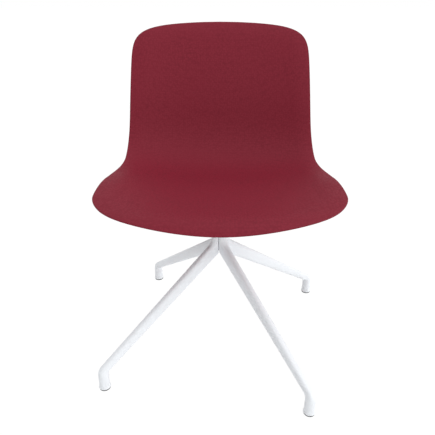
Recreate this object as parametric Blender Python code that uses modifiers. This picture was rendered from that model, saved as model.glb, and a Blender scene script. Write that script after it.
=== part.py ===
"""Visitor chair: a one-piece moulded seat shell that turns on a four-leg base.

Metres, +Z up. The origin is on the floor under the swivel axis and the seat faces -Y.
Left and right are as seen by someone who stands in front of the chair.
"""

import math

import bmesh
import bpy
import numpy as np

# Clearances
FIT = 0.0003  # between pieces that touch or run on each other
CUT_PAST = 0.004  # how far a cutter reaches past the face that it opens

# Seat shell, along its middle line from the front rim to the top of the back
SEAT_HEIGHT = 0.4306  # sitting surface above the floor, on the swivel axis
FRONT_REACH = 0.2449  # front rim ahead of the swivel axis
LIP_RUN = 0.075  # length of the lip that rolls down in front
SEAT_RUN = 0.208  # length of the flat of the seat
BEND_RUN = 0.255  # length of the bend from the seat to the back
BACK_RUN = 0.2135  # length of the back above the bend
LIP_PITCH = 42.0  # degrees that the line climbs at the front rim
SEAT_PITCH = -3.5  # the seat falls towards the back
BACK_PITCH = 82.0  # the back where it leaves the bend
TOP_PITCH = 70.0  # the back at its top edge
LEAN_START = 0.75  # share of the bend after which the back starts to lean
LEAN_POWER = 1.3
SHELL_THICKNESS = 0.0050
RIM_ROUND = 0.0016  # rounding of the moulded rim

# Seat shell, its outline laid flat
SEAT_HALF_WIDTH = 0.2688
WIDEST_RUN = 0.1413  # from the front rim to the widest place
FRONT_POWER = 1.89  # 2 is an ellipse, more is squarer
WAIST_HALF_WIDTH = 0.2370
WAIST_RUN = 0.1293  # from the end of the flat seat to the waist
BACK_HALF_WIDTH = 0.2270  # where the top corners begin
CORNER_RUN = 0.1714  # from there to the top edge
CORNER_POWER = 6.7
TOP_CROWN = 0.0232  # how far the top edge falls away at its corners

# Seat shell, its dish: how far the sides stand up from the middle line
SEAT_RISE = 0.0320
WAIST_RISE = 0.0490
TOP_RISE = 0.0326
SEAT_RISE_RUN = 0.24  # from the front rim to where the seat has its full rise
WAIST_RISE_RUN = 0.177  # from the end of the flat seat to where the waist has its full rise
RISE_POWER = 2.6
ROLL_BAND = 0.032  # width of the rim that rolls outwards
ROLL_DROP = 0.007  # how far the rim rolls back

# Bosses and inserts under the seat
BOSS_ACROSS = 0.160  # between left and right bosses
BOSS_ALONG = 0.140  # between front and rear bosses
BOSS_RADIUS = 0.0095
BOSS_DROP = 0.018  # boss face below the underside of the shell on the axis
INSERT_LENGTH = 0.012
INSERT_WALL = 0.0014
INSERT_END_GAP = 0.0012  # room above an insert in its blind hole

# Plate that carries the shell, and its screws
PLATE_THICKNESS = 0.004
PLATE_CORNER_RADIUS = 0.014  # of the corner round each screw
PLATE_SCREW_RADIUS = 0.003
PLATE_SCREW_REACH = 0.009  # into the insert
PLATE_HEAD_RADIUS = 0.0053
PLATE_HEAD_HEIGHT = 0.0033
PLATE_HEAD_SHOULDER = 0.0047  # radius where the head's side turns over
PLATE_HEAD_SIDE = 0.0020  # height of the side up to there
PLATE_HEAD_CROWN = 0.0033  # radius of the flat on top of the head
PLATE_SOCKET_RADIUS = 0.0023
PLATE_SOCKET_DEPTH = 0.0018
PLATE_WASHER_RADIUS = 0.0075
PLATE_WASHER_THICKNESS = 0.0016

# Spindle and what holds it
SPINDLE_RADIUS = 0.008
SPINDLE_FLANGE_RADIUS = 0.028
SPINDLE_FLANGE_HEIGHT = 0.005
HUB_RADIUS = 0.013
HUB_HEIGHT = 0.013
STUD_RADIUS = 0.006
STUD_TAIL = 0.001  # stud showing above its nut
NUT_FLAT = 0.009  # half the width across flats
NUT_HEIGHT = 0.007
STUD_WASHER_RADIUS = 0.0125
STUD_WASHER_THICKNESS = 0.002
THRUST_THICKNESS = 0.002
CLIP_THICKNESS = 0.0014
CLIP_WIDTH = 0.002
CLIP_OPENING = 60.0  # degrees
GROOVE_DEPTH = 0.0008
SPINDLE_TAIL = 0.0025  # spindle below its groove
SPINDLE_END_GAP = 0.001  # between the spindle and the plug
RETAINING_THICKNESS = 0.0015

# Column core, bushes and plug
BUSH_WALL = 0.0014
BUSH_LENGTH = 0.018
BUSH_FLANGE_RADIUS = 0.013
BUSH_FLANGE_THICKNESS = 0.002
TUBE_WALL = 0.002
TUBE_BOTTOM = 0.266
CAP_RADIUS = 0.027
CAP_THICKNESS = 0.006
PLUG_DEPTH = 0.006
PLUG_HEAD = 0.003
LEG_SCREW_CIRCLE = 0.0182  # radius of the circle of leg screws
LEG_SCREW_RADIUS = 0.0025
LEG_SCREW_HEAD = 0.0045
LEG_SCREW_REACH = 0.014  # into the leg

# Legs, in the upright plane of each leg
BASE_TURN = -8.6  # degrees that the base is turned under the seat
COLUMN_RADIUS = 0.0225  # outer side of the stems
STEM_WIDTH = 0.028
STEM_LAP = 0.0055  # stem past the axis before it is mitred
MITRE_REACH = 0.090  # how far out the mitre's cutter reaches
ROOT_REACH = 0.030  # where the heights of the arm's root are taken
ROOT_TOP = 0.2807
ROOT_BOTTOM = 0.2382
ROOT_WIDTH = 0.019
CROTCH_ROUND = 0.0295  # bend of the upper side, from stem to arm
HEEL_ROUND = 0.0257  # bend of the lower side
ARM_TOP_FALL = 35.82  # degrees
ARM_BOTTOM_FALL = 33.4
ARM_END_WIDTH = 0.0175
KNEE_ROUND = 0.030  # bend of the upper side, from arm to foot
HOLLOW_ROUND = 0.0085  # bend of the lower side
FOOT_REACH = 0.3335
FOOT_RADIUS = 0.0123
FOOT_FLARE_RADIUS = 0.0138
FOOT_FLARE_HEIGHT = 0.016
FOOT_EDGE = 0.0012  # rounding of the foot's lower edge
GLIDE_HEIGHT = 0.0032
GLIDE_RADIUS = 0.0126
GLIDE_STEM_RADIUS = 0.004
GLIDE_STEM_LENGTH = 0.018
GLIDE_EDGE = 0.0008

# Fineness of the meshes
GRID_ACROSS = 20
GRID_ALONG = 26
ROLL_RINGS = 3
SECTION_POINTS = 20  # round a leg's section
BEND_STEPS = 5  # sections in a leg's bend
ARM_SPANS = 4  # lengths of a leg's arm between its bends
FLARE_STEPS = 3  # sections in a foot's flare
TURN_STEPS = 20
PROFILE_STEPS = 600
RIM_STEPS = 2
RIM_ANGLE = 60.0  # edges turned by more than this are the rim
SMOOTH_ANGLE = 35.0  # faces that meet below this angle are shaded as one

# Heights of the swivel, worked down from the seat
BOSS_FACE = SEAT_HEIGHT - SHELL_THICKNESS - BOSS_DROP
PLATE_TOP = BOSS_FACE - FIT
PLATE_BOTTOM = PLATE_TOP - PLATE_THICKNESS
SPINDLE_TOP = PLATE_BOTTOM - FIT
HUB_BOTTOM = SPINDLE_TOP - SPINDLE_FLANGE_HEIGHT - HUB_HEIGHT
THRUST_BOTTOM = HUB_BOTTOM - FIT - THRUST_THICKNESS
BUSH_TOP = THRUST_BOTTOM - FIT
CAP_TOP = BUSH_TOP - BUSH_FLANGE_THICKNESS - FIT
CAP_BOTTOM = CAP_TOP - CAP_THICKNESS
STEM_TOP = CAP_BOTTOM - FIT

# Heights of the spindle's lower end, worked up from the tube
SPINDLE_END = TUBE_BOTTOM + PLUG_DEPTH + SPINDLE_END_GAP
GROOVE_BOTTOM = SPINDLE_END + SPINDLE_TAIL
CLIP_BOTTOM = GROOVE_BOTTOM + FIT
GROOVE_TOP = CLIP_BOTTOM + CLIP_THICKNESS + FIT
RETAINING_BOTTOM = GROOVE_TOP
LOWER_BUSH_BOTTOM = RETAINING_BOTTOM + RETAINING_THICKNESS + FIT

# Radii that follow from the fits
BUSH_BORE = SPINDLE_RADIUS + FIT
TUBE_BORE = BUSH_BORE + BUSH_WALL + FIT
TUBE_RADIUS = TUBE_BORE + TUBE_WALL
INSERT_BORE = PLATE_SCREW_RADIUS + FIT
INSERT_RADIUS = INSERT_BORE + INSERT_WALL
FOOT_BOTTOM = GLIDE_HEIGHT + FIT

RUN_LENGTH = LIP_RUN + SEAT_RUN + BEND_RUN + BACK_RUN
FLAT_END = LIP_RUN + SEAT_RUN
LEG_ANGLES = {"front_left": 225.0, "front_right": 315.0, "rear_right": 45.0, "rear_left": 135.0}
BOSS_PLACES = {
    "front_left": (-BOSS_ACROSS / 2, -BOSS_ALONG / 2),
    "front_right": (BOSS_ACROSS / 2, -BOSS_ALONG / 2),
    "rear_right": (BOSS_ACROSS / 2, BOSS_ALONG / 2),
    "rear_left": (-BOSS_ACROSS / 2, BOSS_ALONG / 2),
}


def clear_scene():
    for old in list(bpy.data.objects):
        bpy.data.objects.remove(old, do_unlink=True)


def new_collection(name):
    collection = bpy.data.collections.new(name)
    bpy.context.scene.collection.children.link(collection)
    return collection


def new_material(name, color, roughness, metallic=0.0):
    material = bpy.data.materials.new(name)
    material.use_nodes = True
    shader = material.node_tree.nodes["Principled BSDF"]
    shader.inputs["Base Color"].default_value = (*color, 1.0)
    shader.inputs["Roughness"].default_value = roughness
    shader.inputs["Metallic"].default_value = metallic
    return material


clear_scene()
PARTS = new_collection("visitor_chair")
CUTTERS = new_collection("visitor_chair_cutters")
SHELL_RED = new_material("moulded_polypropylene", (0.216, 0.023, 0.036), 0.55)
LEG_WHITE = new_material("powder_coated_aluminium", (0.86, 0.87, 0.89), 0.40)
PLATE_BLACK = new_material("powder_coated_steel", (0.03, 0.03, 0.032), 0.50)
STEEL = new_material("bright_steel", (0.58, 0.58, 0.60), 0.30, 1.0)
ZINC = new_material("zinc_plated_steel", (0.62, 0.62, 0.60), 0.38, 1.0)
BRASS = new_material("brass", (0.72, 0.50, 0.20), 0.35, 1.0)
ACETAL = new_material("acetal", (0.75, 0.74, 0.70), 0.45)
GLIDE_GREY = new_material("nylon", (0.035, 0.035, 0.038), 0.60)


def new_empty(name, turn=0.0):
    empty = bpy.data.objects.new(name, None)
    empty.rotation_euler.z = math.radians(turn)
    PARTS.objects.link(empty)
    return empty


SEAT_AXIS = new_empty("seat_swivel_axis")
BASE = new_empty("base_frame", BASE_TURN)


def finish_mesh(bm, name):
    """Close the doubles, point the faces out and shade round faces smooth."""
    bmesh.ops.remove_doubles(bm, verts=bm.verts, dist=1e-6)
    bmesh.ops.recalc_face_normals(bm, faces=bm.faces)
    mesh = bpy.data.meshes.new(name)
    bm.to_mesh(mesh)
    bm.free()
    mesh.shade_smooth()
    mesh.set_sharp_from_angle(angle=math.radians(SMOOTH_ANGLE))
    return mesh


def add_part(name, mesh, material, parent, turn=0.0, place=(0.0, 0.0)):
    if not mesh.materials:
        mesh.materials.append(material)
    part = bpy.data.objects.new(name, mesh)
    part.parent = parent
    part.rotation_euler.z = math.radians(turn)
    part.location = (*place, 0.0)
    PARTS.objects.link(part)
    return part


def add_cutter(name, bm, parent=None):
    cutter = bpy.data.objects.new(name, finish_mesh(bm, name))
    cutter.parent = parent
    cutter.hide_render = True
    cutter.display_type = "WIRE"
    CUTTERS.objects.link(cutter)
    return cutter


def boolean(part, operation, other):
    modifier = part.modifiers.new(other.name, "BOOLEAN")
    modifier.operation = operation
    modifier.object = other
    modifier.solver = "EXACT"


def baked_mesh(blank):
    """Mesh of a blank after its cuts, for copies that share it."""
    bpy.context.view_layer.update()
    mesh = bpy.data.meshes.new_from_object(blank.evaluated_get(bpy.context.evaluated_depsgraph_get()))
    mesh.shade_smooth()
    mesh.set_sharp_from_angle(angle=math.radians(SMOOTH_ANGLE))
    return mesh


def turn_profile(bm, profile, centre=(0.0, 0.0), closed=False):
    """Turn a profile of (radius, height) points about an upright axis."""
    verts = [bm.verts.new((centre[0] + r, centre[1], z)) for r, z in profile]
    edges = [bm.edges.new(pair) for pair in zip(verts, verts[1:])]
    if closed:
        edges.append(bm.edges.new((verts[-1], verts[0])))
    bmesh.ops.spin(
        bm,
        geom=verts + edges,
        cent=(*centre, 0.0),
        axis=(0.0, 0.0, 1.0),
        angle=math.tau,
        steps=TURN_STEPS,
        use_merge=True,
    )


def ring_profile(inner, outer, bottom, top):
    return [(inner, top), (outer, top), (outer, bottom), (inner, bottom)]


def rod_profile(radius, bottom, top):
    return [(0.0, top), (radius, top), (radius, bottom), (0.0, bottom)]


def turned_mesh(name, profile, closed=False):
    bm = bmesh.new()
    turn_profile(bm, profile, closed=closed)
    return finish_mesh(bm, name)


def turned_part(name, profile, material, parent, closed=False):
    return add_part(name, turned_mesh(name, profile, closed), material, parent)


def add_copies(prefix, mesh, material, parent, places):
    for corner, place in places.items():
        add_part(f"{prefix}_{corner}", mesh, material, parent, place=place)


def turned_cutter(name, profile, places=((0.0, 0.0),), parent=None):
    bm = bmesh.new()
    for place in places:
        turn_profile(bm, profile, place)
    return add_cutter(name, bm, parent)


def add_prism(bm, corners, bottom, top):
    """An upright prism on a flat outline of (x, y) corners."""
    face = bm.faces.new([bm.verts.new((x, y, bottom)) for x, y in corners])
    pushed = bmesh.ops.extrude_face_region(bm, geom=[face])
    raised = [item for item in pushed["geom"] if isinstance(item, bmesh.types.BMVert)]
    bmesh.ops.translate(bm, verts=raised, vec=(0.0, 0.0, top - bottom))


def hexagon(corner_radius):
    angles = [math.radians(60.0 * k) for k in range(6)]
    return [(corner_radius * math.cos(angle), corner_radius * math.sin(angle)) for angle in angles]


def ease(t):
    """Smooth step from 0 to 1."""
    t = np.clip(t, 0.0, 1.0)
    return t * t * (3.0 - 2.0 * t)


def shell_pitch(run):
    """Slope of the shell's middle line, in radians, at a distance along it."""
    lean_from = FLAT_END + LEAN_START * BEND_RUN
    lip = (1.0 - np.clip(run / LIP_RUN, 0.0, 1.0)) ** 2
    bend = ease((run - FLAT_END) / BEND_RUN)
    lean = np.clip((run - lean_from) / (RUN_LENGTH - lean_from), 0.0, 1.0) ** LEAN_POWER
    pitch = SEAT_PITCH + (LIP_PITCH - SEAT_PITCH) * lip
    pitch += (BACK_PITCH - SEAT_PITCH) * bend + (TOP_PITCH - BACK_PITCH) * lean
    return np.radians(pitch)


def shell_middle_line():
    """Runs, depths and heights along the middle line, by adding up its slope."""
    runs = np.linspace(0.0, RUN_LENGTH, PROFILE_STEPS + 1)
    step = runs[1]
    middles = shell_pitch(runs[:-1] + step / 2)
    depths = np.concatenate([[0.0], np.cumsum(np.cos(middles)) * step]) - FRONT_REACH
    heights = np.concatenate([[0.0], np.cumsum(np.sin(middles)) * step])
    heights += SEAT_HEIGHT - np.interp(0.0, depths, heights)
    return runs, depths, heights


LINE_RUNS, LINE_DEPTHS, LINE_HEIGHTS = shell_middle_line()


def shell_rise(run):
    """Height of the dish's sides at a distance along the middle line."""
    waist_at = FLAT_END + WAIST_RISE_RUN
    rise = SEAT_RISE * ease(run / SEAT_RISE_RUN)
    rise += (WAIST_RISE - SEAT_RISE) * ease((run - SEAT_RISE_RUN) / (waist_at - SEAT_RISE_RUN))
    return rise + (TOP_RISE - WAIST_RISE) * ease((run - waist_at) / (RUN_LENGTH - waist_at))


def shell_surface(flat, inset):
    """Sitting surface over flat (across, run) points that lie inset from the rim."""
    across = flat[:, 0]
    run = flat[:, 1]
    pitch = shell_pitch(run)
    lift = shell_rise(run) * (np.abs(across) / SEAT_HALF_WIDTH) ** RISE_POWER
    lift -= ROLL_DROP * np.clip(1.0 - inset / ROLL_BAND, 0.0, 1.0) ** 2
    depth = np.interp(run, LINE_RUNS, LINE_DEPTHS) - lift * np.sin(pitch)
    height = np.interp(run, LINE_RUNS, LINE_HEIGHTS) + lift * np.cos(pitch)
    return np.column_stack([across, depth, height])


def side_half_width(run):
    """Half width of the flat outline, before its front and top are rounded."""
    waist_at = FLAT_END + WAIST_RUN
    taper = (BACK_HALF_WIDTH - WAIST_HALF_WIDTH) / (RUN_LENGTH - CORNER_RUN - waist_at)
    span = waist_at - WIDEST_RUN
    t = np.clip((run - WIDEST_RUN) / span, 0.0, 1.0)
    width = SEAT_HALF_WIDTH + (WAIST_HALF_WIDTH - SEAT_HALF_WIDTH) * ease(t)
    width += taper * span * (t**3 - t**2)
    return width + taper * np.maximum(run - waist_at, 0.0)


def half_outline(samples=400):
    """Right half of the flat outline as (across, run), from the front to the top."""
    angle = np.linspace(0.0, math.pi / 2, samples)
    corner_at = RUN_LENGTH - CORNER_RUN
    front = WIDEST_RUN * (1.0 - np.cos(angle) ** (2.0 / FRONT_POWER))
    side = np.linspace(WIDEST_RUN, corner_at, samples)[1:-1]
    top = corner_at + CORNER_RUN * np.sin(angle) ** (2.0 / CORNER_POWER)
    run = np.concatenate([front, side, top])
    to_front = np.clip((WIDEST_RUN - run) / WIDEST_RUN, 0.0, 1.0)
    to_top = np.clip((run - corner_at) / CORNER_RUN, 0.0, 1.0)
    across = side_half_width(run)
    across *= np.maximum(1.0 - to_front**FRONT_POWER, 0.0) ** (1.0 / FRONT_POWER)
    across *= np.maximum(1.0 - to_top**CORNER_POWER, 0.0) ** (1.0 / CORNER_POWER)
    run = run - TOP_CROWN * (across / BACK_HALF_WIDTH) ** 2 * to_top**2
    return np.column_stack([across, run])


def even_half_rim():
    """Rim points of the right half with their inward normals, evenly spaced by stretch."""
    outline = half_outline()
    steps = np.diff(outline, axis=0)
    heading = np.arctan2(steps[:, 1], steps[:, 0])
    length = np.concatenate([[0.0], np.cumsum(np.hypot(steps[:, 0], steps[:, 1]))])
    front_corner = length[np.argmax(heading > math.radians(45.0))]
    top_corner = length[np.argmax(heading > math.radians(135.0))]
    half = GRID_ACROSS // 2
    stations = np.concatenate([
        np.linspace(0.0, front_corner, half + 1)[:-1],
        np.linspace(front_corner, top_corner, GRID_ALONG + 1)[:-1],
        np.linspace(top_corner, length[-1], half + 1),
    ])
    rim = np.column_stack([np.interp(stations, length, outline[:, k]) for k in (0, 1)])
    nudge = length[-1] / PROFILE_STEPS
    ahead = np.column_stack([np.interp(stations + nudge, length, outline[:, k]) for k in (0, 1)])
    behind = np.column_stack([np.interp(stations - nudge, length, outline[:, k]) for k in (0, 1)])
    tangent = ahead - behind
    tangent /= np.linalg.norm(tangent, axis=1)[:, None]
    tangent[0] = (1.0, 0.0)
    tangent[-1] = (-1.0, 0.0)
    return rim, np.column_stack([-tangent[:, 1], tangent[:, 0]])


def whole_ring(half_ring):
    """Both halves of a ring, counterclockwise from the front centre."""
    return np.concatenate([half_ring, half_ring[-2:0:-1] * (-1.0, 1.0)])


def blended_grid(half_ring):
    """Flat points inside a ring, blended from its front, top and two sides."""
    half = GRID_ACROSS // 2
    mirrored = half_ring * (-1.0, 1.0)
    front = np.concatenate([mirrored[half:0:-1], half_ring[:half + 1]])
    top = np.concatenate([mirrored[half + GRID_ALONG:-1], half_ring[:half + GRID_ALONG - 1:-1]])
    right = half_ring[half:half + GRID_ALONG + 1]
    left = mirrored[half:half + GRID_ALONG + 1]
    u = np.linspace(0.0, 1.0, GRID_ACROSS + 1)[None, :, None]
    v = np.linspace(0.0, 1.0, GRID_ALONG + 1)[:, None, None]
    along = (1.0 - v) * front[None] + v * top[None]
    across = (1.0 - u) * left[:, None] + u * right[:, None]
    corners = (1.0 - v) * ((1.0 - u) * front[0] + u * front[-1])
    corners = corners + v * ((1.0 - u) * top[0] + u * top[-1])
    return along + across - corners


def grid_border():
    """Indices of the grid's border, in the order of a whole ring."""
    row = GRID_ACROSS + 1
    half = GRID_ACROSS // 2
    last = GRID_ALONG * row
    border = list(range(half, row))
    border += [j * row + GRID_ACROSS for j in range(1, GRID_ALONG)]
    border += [last + i for i in range(GRID_ACROSS, -1, -1)]
    border += [j * row for j in range(GRID_ALONG - 1, -1, -1)]
    return border + list(range(1, half))


def shell_sheet():
    """The sitting surface as an open sheet of quads, with rings along its rim."""
    rim, inward = even_half_rim()
    insets = [ROLL_BAND * (ROLL_RINGS - k) / ROLL_RINGS for k in range(ROLL_RINGS + 1)]
    grid = blended_grid(rim + inward * insets[0])
    points = [shell_surface(grid.reshape(-1, 2), np.full(grid.shape[0] * grid.shape[1], ROLL_BAND))]
    for inset in insets[1:]:
        ring = whole_ring(rim + inward * inset)
        points.append(shell_surface(ring, np.full(len(ring), inset)))
    bm = bmesh.new()
    verts = [bm.verts.new(point) for point in np.concatenate(points)]
    row = GRID_ACROSS + 1
    for j in range(GRID_ALONG):
        for i in range(GRID_ACROSS):
            k = j * row + i
            bm.faces.new([verts[k], verts[k + 1], verts[k + row + 1], verts[k + row]])
    inner = grid_border()
    start = row * (GRID_ALONG + 1)
    for ring in range(ROLL_RINGS):
        outer = [start + ring * len(inner) + k for k in range(len(inner))]
        for a, b, c, d in zip(inner, outer, outer[1:] + outer[:1], inner[1:] + inner[:1]):
            bm.faces.new([verts[a], verts[b], verts[c], verts[d]])
        inner = outer
    return bm


def seat_height_at(x, y):
    """Height of the sitting surface over a point of the seat's flat part."""
    run = np.interp(y, LINE_DEPTHS, LINE_RUNS)
    return shell_surface(np.array([[x, run]]), ROLL_BAND)[0, 2]


def build_shell():
    """Moulded shell: the sheet thickened downwards, with four screw bosses under it."""
    mesh = bpy.data.meshes.new("seat_shell")
    sheet = shell_sheet()
    sheet.to_mesh(mesh)
    sheet.free()
    mesh.shade_smooth()
    shell = add_part("seat_shell", mesh, SHELL_RED, SEAT_AXIS)
    wall = shell.modifiers.new("wall", "SOLIDIFY")
    wall.thickness = SHELL_THICKNESS
    wall.offset = -1.0
    wall.use_even_offset = True
    rim = shell.modifiers.new("rim", "BEVEL")
    rim.width = RIM_ROUND
    rim.segments = RIM_STEPS
    rim.limit_method = "ANGLE"
    rim.angle_limit = math.radians(RIM_ANGLE)
    posts = bmesh.new()
    for x, y in BOSS_PLACES.values():
        top = seat_height_at(x, y) - SHELL_THICKNESS / 2
        turn_profile(posts, rod_profile(BOSS_RADIUS, BOSS_FACE, top), (x, y))
    boolean(shell, "UNION", add_cutter("boss_posts", posts, SEAT_AXIS))
    hole_top = BOSS_FACE + FIT + INSERT_LENGTH + INSERT_END_GAP
    hole = rod_profile(INSERT_RADIUS + FIT, BOSS_FACE - CUT_PAST, hole_top)
    boolean(shell, "DIFFERENCE", turned_cutter("insert_holes", hole, BOSS_PLACES.values(), SEAT_AXIS))
    insert = ring_profile(INSERT_BORE, INSERT_RADIUS, BOSS_FACE + FIT, BOSS_FACE + FIT + INSERT_LENGTH)
    add_copies("shell_insert", turned_mesh("shell_insert", insert, True), BRASS, SEAT_AXIS, BOSS_PLACES)


def plate_outline():
    """Flat outline with a round corner about each boss, counterclockwise."""
    steps = TURN_STEPS // 4
    corners = []
    for quarter, corner in enumerate(("rear_right", "rear_left", "front_left", "front_right")):
        x, y = BOSS_PLACES[corner]
        for k in range(steps + 1):
            angle = math.pi / 2 * (quarter + k / steps)
            out_x = PLATE_CORNER_RADIUS * math.cos(angle)
            out_y = PLATE_CORNER_RADIUS * math.sin(angle)
            corners.append((x + out_x, y + out_y))
    return corners


def build_plate():
    """Steel plate, screwed up into the bosses from below."""
    bm = bmesh.new()
    add_prism(bm, plate_outline(), PLATE_BOTTOM, PLATE_TOP)
    plate = add_part("seat_plate", finish_mesh(bm, "seat_plate"), PLATE_BLACK, SEAT_AXIS)
    low = PLATE_BOTTOM - CUT_PAST
    high = PLATE_TOP + CUT_PAST
    screw_hole = rod_profile(PLATE_SCREW_RADIUS + FIT, low, high)
    screw_holes = turned_cutter("plate_screw_holes", screw_hole, BOSS_PLACES.values(), SEAT_AXIS)
    boolean(plate, "DIFFERENCE", screw_holes)
    stud_hole = rod_profile(STUD_RADIUS + FIT, low, high)
    boolean(plate, "DIFFERENCE", turned_cutter("plate_stud_hole", stud_hole, parent=SEAT_AXIS))
    washer_top = PLATE_BOTTOM - FIT
    washer_bottom = washer_top - PLATE_WASHER_THICKNESS
    washer = ring_profile(PLATE_SCREW_RADIUS + FIT, PLATE_WASHER_RADIUS, washer_bottom, washer_top)
    add_copies("plate_washer", turned_mesh("plate_washer", washer, True), ZINC, SEAT_AXIS, BOSS_PLACES)
    add_copies("plate_screw", plate_screw_mesh(washer_bottom - FIT), ZINC, SEAT_AXIS, BOSS_PLACES)


def plate_screw_mesh(head_top):
    """Button head screw with a hexagon socket, its head downwards."""
    head_bottom = head_top - PLATE_HEAD_HEIGHT
    screw = [
        (0.0, BOSS_FACE + PLATE_SCREW_REACH),
        (PLATE_SCREW_RADIUS, BOSS_FACE + PLATE_SCREW_REACH),
        (PLATE_SCREW_RADIUS, head_top),
        (PLATE_HEAD_RADIUS, head_top),
        (PLATE_HEAD_SHOULDER, head_top - PLATE_HEAD_SIDE),
        (PLATE_HEAD_CROWN, head_bottom),
        (0.0, head_bottom),
    ]
    blank = turned_cutter("plate_screw_blank", screw)
    socket = bmesh.new()
    add_prism(socket, hexagon(PLATE_SOCKET_RADIUS), head_bottom - CUT_PAST, head_bottom + PLATE_SOCKET_DEPTH)
    boolean(blank, "DIFFERENCE", add_cutter("plate_screw_socket", socket))
    return baked_mesh(blank)


def build_spindle():
    """Turned spindle under the plate, held by a nut above and a clip below."""
    stud_top = PLATE_TOP + FIT + STUD_WASHER_THICKNESS + FIT + NUT_HEIGHT + STUD_TAIL
    groove_radius = SPINDLE_RADIUS - GROOVE_DEPTH
    spindle = [
        (0.0, stud_top),
        (STUD_RADIUS, stud_top),
        (STUD_RADIUS, SPINDLE_TOP),
        (SPINDLE_FLANGE_RADIUS, SPINDLE_TOP),
        (SPINDLE_FLANGE_RADIUS, SPINDLE_TOP - SPINDLE_FLANGE_HEIGHT),
        (HUB_RADIUS, SPINDLE_TOP - SPINDLE_FLANGE_HEIGHT),
        (HUB_RADIUS, HUB_BOTTOM),
        (SPINDLE_RADIUS, HUB_BOTTOM),
        (SPINDLE_RADIUS, GROOVE_TOP),
        (groove_radius, GROOVE_TOP),
        (groove_radius, GROOVE_BOTTOM),
        (SPINDLE_RADIUS, GROOVE_BOTTOM),
        (SPINDLE_RADIUS, SPINDLE_END),
        (0.0, SPINDLE_END),
    ]
    turned_part("spindle", spindle, STEEL, SEAT_AXIS)
    washer_top = PLATE_TOP + FIT + STUD_WASHER_THICKNESS
    washer = ring_profile(STUD_RADIUS + FIT, STUD_WASHER_RADIUS, PLATE_TOP + FIT, washer_top)
    turned_part("spindle_washer", washer, ZINC, SEAT_AXIS, True)
    nut_bottom = washer_top + FIT
    bm = bmesh.new()
    add_prism(bm, hexagon(NUT_FLAT / math.cos(math.radians(30.0))), nut_bottom, nut_bottom + NUT_HEIGHT)
    nut = add_part("spindle_nut", finish_mesh(bm, "spindle_nut"), ZINC, SEAT_AXIS)
    thread = rod_profile(STUD_RADIUS + FIT, nut_bottom - CUT_PAST, nut_bottom + NUT_HEIGHT + CUT_PAST)
    boolean(nut, "DIFFERENCE", turned_cutter("nut_thread", thread, parent=SEAT_AXIS))
    retaining_top = RETAINING_BOTTOM + RETAINING_THICKNESS
    retaining = ring_profile(BUSH_BORE, TUBE_BORE - FIT, RETAINING_BOTTOM, retaining_top)
    turned_part("retaining_washer", retaining, ZINC, SEAT_AXIS, True)
    build_clip(groove_radius + FIT)


def build_clip(inner):
    """Open spring ring in the spindle's groove."""
    bm = bmesh.new()
    profile = ring_profile(inner, inner + CLIP_WIDTH, CLIP_BOTTOM, CLIP_BOTTOM + CLIP_THICKNESS)
    face = bm.faces.new([bm.verts.new((r, 0.0, z)) for r, z in profile])
    sweep = math.radians(360.0 - CLIP_OPENING)
    bmesh.ops.spin(
        bm,
        geom=[face, *face.edges, *face.verts],
        cent=(0.0, 0.0, 0.0),
        axis=(0.0, 0.0, 1.0),
        angle=sweep,
        steps=TURN_STEPS,
    )
    holes = [edge for edge in bm.edges if edge.is_boundary]
    bmesh.ops.holes_fill(bm, edges=holes, sides=4)
    add_part("retaining_clip", finish_mesh(bm, "retaining_clip"), STEEL, SEAT_AXIS)


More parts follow.
